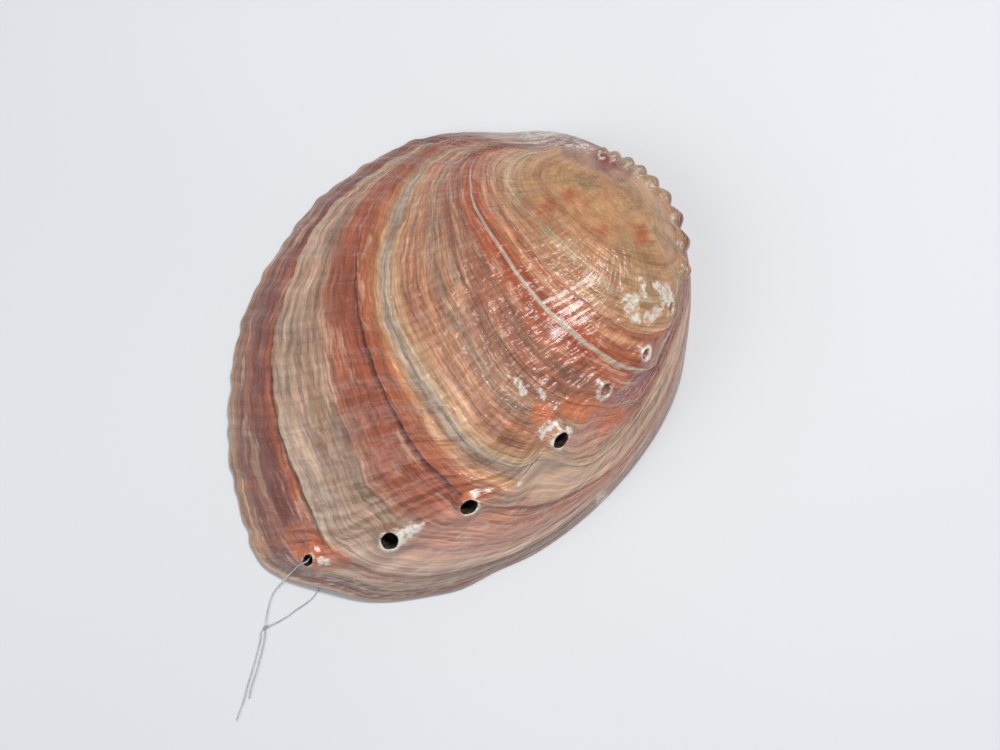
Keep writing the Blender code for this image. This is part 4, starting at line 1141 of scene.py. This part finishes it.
class OutsideLook(Graph):
    """Polished shell with growth bands, fine lines along and across them, and patches of wear down to the
    mother of pearl, with painted highlights in the same white.
    """

    def __init__(self):
        super().__init__("shell_outside_look")
        coords = self.tree.nodes.new("ShaderNodeUVMap")
        coords.uv_map = "growth"
        self.out, self.v, _ = self.split(coords.outputs[0])
        turn = self.times(self.v, 2 * math.pi)
        self.around = self.math("COSINE", turn), self.math("SINE", turn)
        cord_phase = self.times(self.v, 2 * math.pi * CORD_COUNT / RIDGE_V)
        self.cord_wave = self.times(self.math("COSINE", cord_phase), self.rerange(self.out, *CORD_OUT))
        self.scalloped = self.scaled(self.cord_wave, CORD_SCALLOP, self.out)
        wander = self.growth_noise(WANDER)
        self.shift = self.scaled(wander, CROWN_SHIFT, -CROWN_SHIFT / 2)
        wall = self.rerange(self.scaled(wander, WALL_EDGE_SHIFT, self.v), *WALL_FROM)
        self.wall = self.times(wall, self.rerange(self.out, *WALL_OUT))
        self.streaks = self.growth_noise(STREAKS, self.scalloped)
        self.broad = self.growth_noise(BROAD_STREAKS, self.scalloped)
        self.cords = self.growth_noise(CORDS)
        scale, roughness, distortion = RUDDY
        self.ruddy = self.noise(self.place, scale, 4, roughness, distortion)

    def growth_noise(self, kind, along=None, distortion=0.0):
        """Noise stretched along the growth lines."""
        out_rate, turn_rate, start, detail, roughness = kind
        place = self.vector(self.scaled(self.out if along is None else along, out_rate, start),
                            self.times(self.around[0], turn_rate), self.times(self.around[1], turn_rate))
        return self.noise(place, 1.0, detail, roughness, distortion)

    def bands(self):
        crown = self.ramp(self.math("ADD", self.scalloped, self.shift), CROWN_COLOURS)
        shift = self.scaled(self.growth_noise(WALL_WANDER), WALL_SHIFT, -WALL_SHIFT / 2)
        wall = self.ramp(self.math("ADD", self.out, shift), WALL_COLOURS)
        return self.mix(self.wall, crown, wall)

    def stained(self, colour):
        for kind, shows, strength, stain in STAINS:
            share = self.rerange(self.growth_noise(kind), *shows, 0.0, strength)
            colour = self.mix(share, colour, stain)
        spire = self.rerange(self.out, *SPIRE_FADE, 1.0, 0.0)
        for (scale, roughness, distortion), shows, strength, stain in SPIRE_STAINS:
            clouds = self.noise(self.place, scale, 4, roughness, distortion)
            share = self.times(self.rerange(clouds, *shows, 0.0, strength), spire)
            colour = self.mix(share, colour, stain)
        stations, outs, strength, stain = TOP_STAIN
        top = self.times(self.rerange(self.v, *stations, 1.0, 0.0), self.rerange(self.out, *outs))
        return self.mix(self.times(top, strength), colour, stain)

    def lined(self, colour):
        tints = self.growth_noise(TINTS, self.scalloped)
        fade = self.rerange(self.out, *TINT_FADE)
        for shows, strength, tint in LINE_TINTS:
            share = self.times(self.rerange(tints, *shows, 0.0, strength), fade)
            colour = self.mix(share, colour, tint)
        tone = self.times(self.rerange(self.streaks, *STREAK_TONES, smooth=False),
                          self.rerange(self.broad, *BROAD_TONES, smooth=False))
        hairlines = self.growth_noise(HAIRLINES, self.scalloped)
        tone = self.times(tone, self.rerange(hairlines, *HAIRLINE_TONES, smooth=False))
        rays = self.rerange(self.growth_noise(RAYS, distortion=RAY_DISTORTION), *RAY_TONES, smooth=False)
        tone = self.times(tone, self.scaled(rays, self.rerange(self.out, *RAY_FADE), 1.0))
        tone = self.scaled(self.math("SUBTRACT", tone, 1.0), self.rerange(self.out, *LINE_FADE), 1.0)
        cords = self.rerange(self.cords, *CORD_TONES, smooth=False)
        tone = self.times(tone, self.scaled(cords, self.rerange(self.out, *CORD_TONE_OUT), 1.0))
        tone = self.times(tone, self.scaled(self.cord_wave, CORD_WAVE_TONE, 1.0))
        return self.mix(1.0, colour, self.vector(tone, tone, tone), "MULTIPLY")

    def rested(self, colour):
        """The pale line, the wall's mottle and the dark lines where growth rested."""
        pale = self.line(self.scaled(self.shift, PALE_LINE_WANDER, self.out), *PALE_LINE)
        pale = self.times(pale, self.rerange(self.v, *PALE_LINE_FROM))
        colour = self.mix(self.times(pale, PALE_LINE_STRENGTH), colour, PALE_LINE_COLOUR)
        mottle = self.times(self.rerange(self.growth_noise(MOTTLE), *MOTTLE_SHOWS), self.wall)
        colour = self.mix(mottle, colour, MOTTLE_COLOUR)
        for line, inner, outer, strength in DARK_LINES:
            mark = self.line(self.scaled(self.shift, DARK_LINE_WANDER, self.out), line, inner, outer)
            mark = self.times(mark, self.scaled(self.wall, DARK_LINE_ON_WALL, 1.0))
            colour = self.mix(self.times(mark, strength), colour, DARK_LINE_COLOUR)
        return colour

    def patched(self, colour):
        """Purple and orange stains, wear down to the mother of pearl and painted highlights in one white,
        and dark pits, where the masks place them.
        """
        masks = self.tree.nodes.new("ShaderNodeAttribute")
        masks.attribute_name = "masks"
        wear_and_glint_mask, dark, purple = self.split(masks.outputs["Vector"])
        for full, strength, breaks, stain in MASK_STAINS:
            share = self.rerange(purple, 0.0, full, 0.0, strength)
            colour = self.mix(self.times(share, self.rerange(self.ruddy, *breaks)), colour, stain)
        # Wear and painted highlights, mixed toward one white
        edge = self.rerange(self.noise(self.place, *PATCH_EDGE), *PATCH_EDGE_TONES, smooth=False)
        worn_and_glint = self.rerange(self.math("ADD", wear_and_glint_mask, edge), *WORN_AND_GLINT_SHOWS)
        worn_and_glint = self.times(worn_and_glint, self.rerange(wear_and_glint_mask, *WORN_AND_GLINT_INSIDE))
        colour = self.mix(self.times(worn_and_glint, WORN_AND_GLINT_STRENGTH), colour, WORN_AND_GLINT_COLOUR)
        return self.mix(self.times(dark, PIT_STRENGTH), colour, PIT_COLOUR)

    def build(self):
        self.set("Base Color", self.patched(self.rested(self.lined(self.stained(self.bands())))))
        rough = self.rerange(self.growth_noise(GLOSS), *GLOSS_RANGE, smooth=False)
        self.set("Roughness", self.math("ADD", rough, self.times(self.wall, WALL_DULLER)))
        self.set("Coat Weight", COAT)
        self.set("Coat Roughness", COAT_ROUGHNESS)
        grown = self.rerange(self.out, *BUMP_OUT)
        lines = self.math("ADD", self.times(self.streaks, FINE_LINES), self.times(self.broad, BROAD_LINES))
        low = self.bump(self.times(self.growth_noise(SWELL), grown), SWELL_HEIGHT)
        low = self.bump(lines, LINE_HEIGHT, under=low)
        self.set("Normal", self.bump(self.times(self.cords, grown), CORD_BUMP, under=low))
        return self.material


def cloud_look(name, stops, *kind):
    """A material coloured by clouds of noise, and the clouds."""
    g = Graph(name)
    clouds = g.noise(g.place, *kind)
    g.set("Base Color", g.ramp(clouds, stops))
    return g, clouds


def nacre_material():
    """Mother of pearl: a pale body with soft pink, green and blue clouds."""
    stops = ((0.30, (196, 206, 202)), (0.42, (206, 196, 204)), (0.52, (216, 214, 204)),
             (0.62, (186, 208, 200)), (0.72, (214, 196, 200)), (0.80, (222, 218, 208)))
    g, _ = cloud_look("nacre_look", stops, 38, 4, 0.6, 1.2)
    g.set("Roughness", g.rerange(g.noise(g.place, 120, 3), 0.3, 0.7, 0.14, 0.3))
    g.set("Coat Weight", 0.5)
    g.set("Coat Roughness", 0.08)
    g.set("Normal", g.bump(g.noise(g.place, 60, 5, 0.6), 0.0006))
    return g.material


def bore_material():
    """The holes' walls: layered shell, painted dark as the shade inside the holes."""
    stops = ((0.3, (40, 30, 26)), (0.5, (62, 50, 42)), (0.7, (94, 80, 70)))
    g, layers = cloud_look("hole_wall_shade_look", stops, 900, 3)
    g.set("Roughness", 0.4)
    g.set("Normal", g.bump(layers, 0.0002))
    return g.material


def nylon_material():
    """Clear nylon thread, slightly milky."""
    g, haze = cloud_look("clear_nylon_look", ((0.3, (214, 217, 222)), (0.7, (236, 238, 240))), 400, 2)
    g.set("Roughness", g.rerange(haze, 0.3, 0.7, 0.12, 0.24))
    g.set("Transmission Weight", 0.6)
    g.set("IOR", 1.53)
    return g.material


# Patches by where they show, each a pixel and a radius in metres, and how strongly each kind shows. Some are
# wear and some are painted highlights.
# Spots of wear along the ridges, and a cluster of painted highlights on the crest beside hole_7
NACRE_AND_GLINT_SPOTS = (((628, 300), 0.0014), ((632, 309), 0.0016), ((637, 318), 0.0013), ((657, 312), 0.0013),
               ((650, 318), 0.0014), ((664, 290), 0.0014), ((670, 296), 0.0010), ((641, 279), 0.0006),
               ((644, 287), 0.0006), ((646, 295), 0.0006), ((600, 499), 0.0012), ((603, 495), 0.0010),
               ((521, 483), 0.0009), ((475, 494), 0.0010), ((477, 490), 0.0007), ((642, 285), 0.0008),
               ((643, 292), 0.0008), ((634, 300), 0.0012), ((665, 300), 0.0014), ((656, 285), 0.0009))
# White fans of wear beside the open holes, and a few painted highlights on the crown up and left of hole_4
WHITE_FANS_AND_GLINTS = (((403, 535), 0.0017), ((409, 531), 0.0016), ((416, 528), 0.0011), ((422, 526), 0.0007),
              ((321, 561), 0.0010), ((328, 562), 0.0009), ((541, 437), 0.0007), ((543, 431), 0.0009),
              ((548, 426), 0.0011), ((553, 425), 0.0008), ((569, 430), 0.0009), ((559, 447), 0.0009),
              ((519, 384), 0.0011), ((523, 391), 0.0010), ((517, 378), 0.0007), ((544, 396), 0.0008),
              ((541, 392), 0.0007))
ORANGE_CONES = (((306, 546), 0.0030), ((318, 554), 0.0030), ((330, 557), 0.0026), ((342, 561), 0.0018),
                ((296, 532), 0.0022), ((470, 498), 0.0016), ((588, 410), 0.0028), ((604, 415), 0.0026),
                ((572, 407), 0.0022), ((620, 414), 0.0020), ((543, 415), 0.0024))
# The pearly lip behind the spire, with a painted highlight at its middle
PEARLY_LIP_AND_GLINT = (((527, 138), 0.0016), ((536, 137), 0.0020), ((546, 137), 0.0022), ((556, 138), 0.0021),
              ((566, 140), 0.0019), ((577, 143), 0.0016), ((588, 148), 0.0012))
PURPLE_BACK = (((572, 149), 0.0022), ((584, 153), 0.0024), ((597, 159), 0.0024), ((610, 166), 0.0022),
               ((623, 173), 0.0018))
CREST_SHARE = 0.35
# The knobs' pale crests, each with a painted highlight
KNOB_CREST_GLINTS = tuple((px, CREST_SHARE * diameter) for px, _, diameter in NODULES)
# Each list of wear and painted highlights, with how strongly it shows
WORN_AND_GLINT_PLACES = ((NACRE_AND_GLINT_SPOTS, 0.66), (WHITE_FANS_AND_GLINTS, 0.72), (PEARLY_LIP_AND_GLINT, 0.50), (KNOB_CREST_GLINTS, 0.42))
SPOT_SOFTNESS = 0.9

# Which way each hole's rim is worn white, in degrees as seen in the photograph, how strongly, and how
# wide the worn ring is in collar widths
RIM_WEAR = ((-20, 0.7, 1.5), (-60, 1.0, 2.2), (-10, 0.9, 1.6), (175, 1.0, 2.2), (200, 1.0, 2.4),
            (20, 1.0, 2.2), (150, 1.0, 3.0))
WEAR_STRENGTH = 0.9
WEAR_FROM, WEAR_RISE = 0.0014, 0.0008
WEAR_NEAR = 0.010

# How dark and how white each grown-shut hole is inside
PIT_LOOKS = {"hole_5": (0.45, 0.30), "hole_6": (0.60, 0.25), "hole_7": (1.0, 0.0)}


def spots_share(points, spots):
    """Share of the spots at each point: 1 near the line of sight through a spot's pixel, 0 beyond all."""
    shares = []
    for px, radius in spots:
        low, high = (to_model(np.append(unproject(px, height), height)) for height in (0.0, SHELL_HEIGHT))
        way = (high - low) / np.linalg.norm(high - low)
        off = points - low
        off = off - (off @ way)[:, None] * way
        away = np.linalg.norm(off, axis=1) / radius
        shares.append(np.clip((1 + SPOT_SOFTNESS - away) / SPOT_SOFTNESS, 0, 1))
    return np.max(shares, axis=0)


def paint_masks(shell):
    """How whitened by wear and by painted highlights, how dark, and how purple or, below zero, how orange
    each point of the shell is.
    """
    mesh = shell.data
    points = read_points(mesh)
    masks = np.zeros((len(points), 3))
    # The first mask: wear, and the painted highlights on the crests, the crown and the lip
    masks[:, 0] = np.max([strength * spots_share(points, spots) for spots, strength in WORN_AND_GLINT_PLACES], axis=0)
    masks[:, 2] = spots_share(points, PURPLE_BACK) - spots_share(points, ORANGE_CONES)
    for hole, place, (wear_way, wear, wear_width) in zip(HOLES, HOLE_PLACES, RIM_WEAR):
        name, _, _, _, _, stand, long, short, tilt = hole
        centre, normal, long_way, across = hole_frame(place, tilt)
        off = points - centre
        a, b = off @ long_way, off @ across
        share = np.hypot(a / (long / 2), b / (short / 2))
        around = np.hypot(a, b) * (1 - 1 / np.maximum(share, 1e-6))
        high = np.clip((off @ normal - stand + WEAR_FROM) / WEAR_RISE, 0, 1)
        rim = bump(around - 0.2 * wear_width * COLLAR_WIDTH, wear_width * COLLAR_WIDTH) * high
        turned = math.radians(wear_way) - LENGTH_AXIS_ANGLE
        facing = np.array([math.cos(turned), math.sin(turned), 0.0])
        distance = np.linalg.norm(off, axis=1)
        faced = off @ facing / np.maximum(distance, 1e-6)
        rim = WEAR_STRENGTH * rim * wear * (0.5 + 0.5 * np.clip(0.5 + faced, 0, 1))
        near = distance < WEAR_NEAR
        masks[:, 0] = np.where(near, np.maximum(masks[:, 0], rim), masks[:, 0])
        if name in PIT_LOOKS:
            inside = np.clip(-around / COLLAR_WIDTH, 0, 1) * near
            for channel, strength in zip((1, 0), PIT_LOOKS[name]):
                masks[:, channel] = np.maximum(masks[:, channel], strength * inside)
    layer = mesh.attributes.new("masks", "FLOAT_VECTOR", "POINT")
    layer.data.foreach_set("vector", masks.ravel().astype(np.float32))


# The step along the fine thread, and the knot's points and how far its turns swing in and out
THREAD_FINE_STEP = 0.0006
KNOT_POINTS = 90
KNOT_SWING = 0.25


def thread_piece(name, points, mat, closed=False):
    """A stretch of the thread through points."""
    curve = bpy.data.curves.new(name, "CURVE")
    curve.dimensions = "3D"
    curve.bevel_depth = THREAD_DIAMETER / 2
    curve.bevel_resolution = 4
    curve.use_fill_caps = not closed
    spline = curve.splines.new("POLY")
    spline.points.add(len(points) - 1)
    spline.use_cyclic_u = closed
    for target, place in zip(spline.points, points):
        target.co = (*place, 1)
    curve.materials.append(mat)
    piece = bpy.data.objects.new(name, curve)
    bpy.context.collection.objects.link(piece)
    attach(piece, "root")
    return piece


def make_knot(mat):
    """The small overhand knot, as turns of the thread drawn tight."""
    middle = thread_route([KNOT])[0]
    size = (KNOT_SIZE - THREAD_DIAMETER) / 2
    turns = []
    for i in range(KNOT_POINTS):
        t = 2 * math.pi * i / KNOT_POINTS
        loop = 1 - KNOT_SWING + KNOT_SWING * math.cos(3 * t)
        turn = np.array([loop * math.cos(2 * t), loop * math.sin(2 * t), math.sin(3 * t)])
        turns.append(middle + size * turn)
    knot = thread_piece("knot", turns, mat, closed=True)
    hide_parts("thread_knot")
    return knot


def make_thread():
    """The nylon thread: two strands from the newest hole into one knot, and its two loose ends."""
    nylon = nylon_material()
    knot = make_knot(nylon)
    strands = (("thread_a", (STRAND_OVER, OVER_AXIS), TAIL_SHORT,
                ("thread_over", "thread_end_short"), [knot]),
               ("thread_b", (STRAND_UNDER, UNDER_AXIS), TAIL_LONG,
                ("thread_under", "thread_end_long"), []))
    for name, strand, tail, nodes, with_pieces in strands:
        route = np.concatenate([thread_route(*strand), thread_route([KNOT]), thread_route(tail)])
        points = smooth_path(route, THREAD_FINE_STEP)
        piece = thread_piece(name, points, nylon)
        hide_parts(*nodes)


def smooth_path(points, step):
    """Points at about an even step along a smooth curve through the route's points."""
    points = np.asarray(points, float)
    chord = np.concatenate([[0], np.cumsum(np.linalg.norm(np.diff(points, axis=0), axis=1))])
    fine = smooth_curve(chord, points, np.linspace(0, chord[-1], PATH_POINTS))
    length = np.concatenate([[0], np.cumsum(np.linalg.norm(np.diff(fine, axis=0), axis=1))])
    even = np.linspace(0, length[-1], max(4, int(length[-1] / step)) + 1)
    return np.stack([np.interp(even, length, fine[:, i]) for i in range(3)], -1)


def thread_route(route, axis_heights=()):
    """A route's points in the part's frame: first along the newest hole's axis, then as shown."""
    centre, normal, _, _ = hole_frame(HOLE_PLACES[0], 0)
    inside = [centre + normal * height for height in axis_heights]
    px = np.array([place for place, _ in route], float)
    z = np.array([height for _, height in route])
    return np.array(inside + list(to_model(np.concatenate([unproject(px, z), z[:, None]], -1))))


PHOTO_WIDTH_PX = 1000
SENSOR_MM = 36.0
FLOOR_SIZE = 6.0
FLOOR_DROP = 0.0001
FLOOR_STOPS = ((0.3, (214, 215, 216)), (0.7, (220, 221, 222)))
SKY = (0.85, 0.9, 1.0, 1)
SKY_STRENGTH = 0.38

# Soft square lights aimed at the shell: name, place in the photograph's plan, width and watts
LIGHTS = (("key", (0.25, 0.21, 0.80), 0.22, 5.2), ("fill", (-0.6, -0.3, 0.7), 0.8, 2.9))
LIGHT_UP = (0.3, 0.9, 0.1)


def aim(thing, place, target, up=(0, 0, 1)):
    """Turns a camera or a light at a place towards a target."""
    place, target = np.array(place, float), np.array(target, float)
    back = (place - target) / np.linalg.norm(place - target)
    side = np.cross(up, back)
    side /= np.linalg.norm(side)
    top = np.cross(back, side)
    matrix = np.eye(4)
    matrix[:3, 0], matrix[:3, 1], matrix[:3, 2], matrix[:3, 3] = side, top, back, place
    thing.matrix_world = mathutils.Matrix(matrix.tolist())


def make_camera():
    centre = to_model(np.zeros(3))
    eye = to_model(VIEW_DISTANCE * np.array([0, -math.cos(VIEW_ELEVATION), math.sin(VIEW_ELEVATION)]))
    up = to_model(np.array([0, 1.0, 0])) - centre
    data = bpy.data.cameras.new("camera")
    data.lens = SENSOR_MM * FOCAL_PX / PHOTO_WIDTH_PX
    data.sensor_width = SENSOR_MM
    data.clip_start = 0.01
    camera = bpy.data.objects.new("camera", data)
    bpy.context.collection.objects.link(camera)
    aim(camera, eye, centre, up)
    bpy.context.scene.camera = camera


def area_light(name, place, size, watts):
    """A soft square light, placed in the photograph's plan frame and aimed at its middle."""
    data = bpy.data.lights.new(name, "AREA")
    data.shape = "SQUARE"
    data.size = size
    data.energy = watts
    light = bpy.data.objects.new(name, data)
    bpy.context.collection.objects.link(light)
    aim(light, to_model(np.array(place)), to_model(np.zeros(3)), LIGHT_UP)


def make_stage():
    """The pale floor, the sky's even light and the lights."""
    bpy.ops.mesh.primitive_plane_add(size=FLOOR_SIZE, location=(0, 0, -FLOOR_DROP))
    floor = bpy.context.object
    floor.name = "floor"
    look, _ = cloud_look("floor_look", FLOOR_STOPS, 3, 2)
    look.set("Roughness", 0.85)
    floor.data.materials.append(look.material)
    world = bpy.data.worlds.new("studio")
    world.use_nodes = True
    sky = world.node_tree.nodes["Background"]
    sky.inputs["Color"].default_value = SKY
    sky.inputs["Strength"].default_value = SKY_STRENGTH
    bpy.context.scene.world = world
    bpy.context.scene.view_settings.view_transform = "Standard"
    for light in LIGHTS:
        area_light(*light)


make_camera()
make_thread()
shell = make_shell()
paint_masks(shell)
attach(shell, "root")
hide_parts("shell")
make_stage()
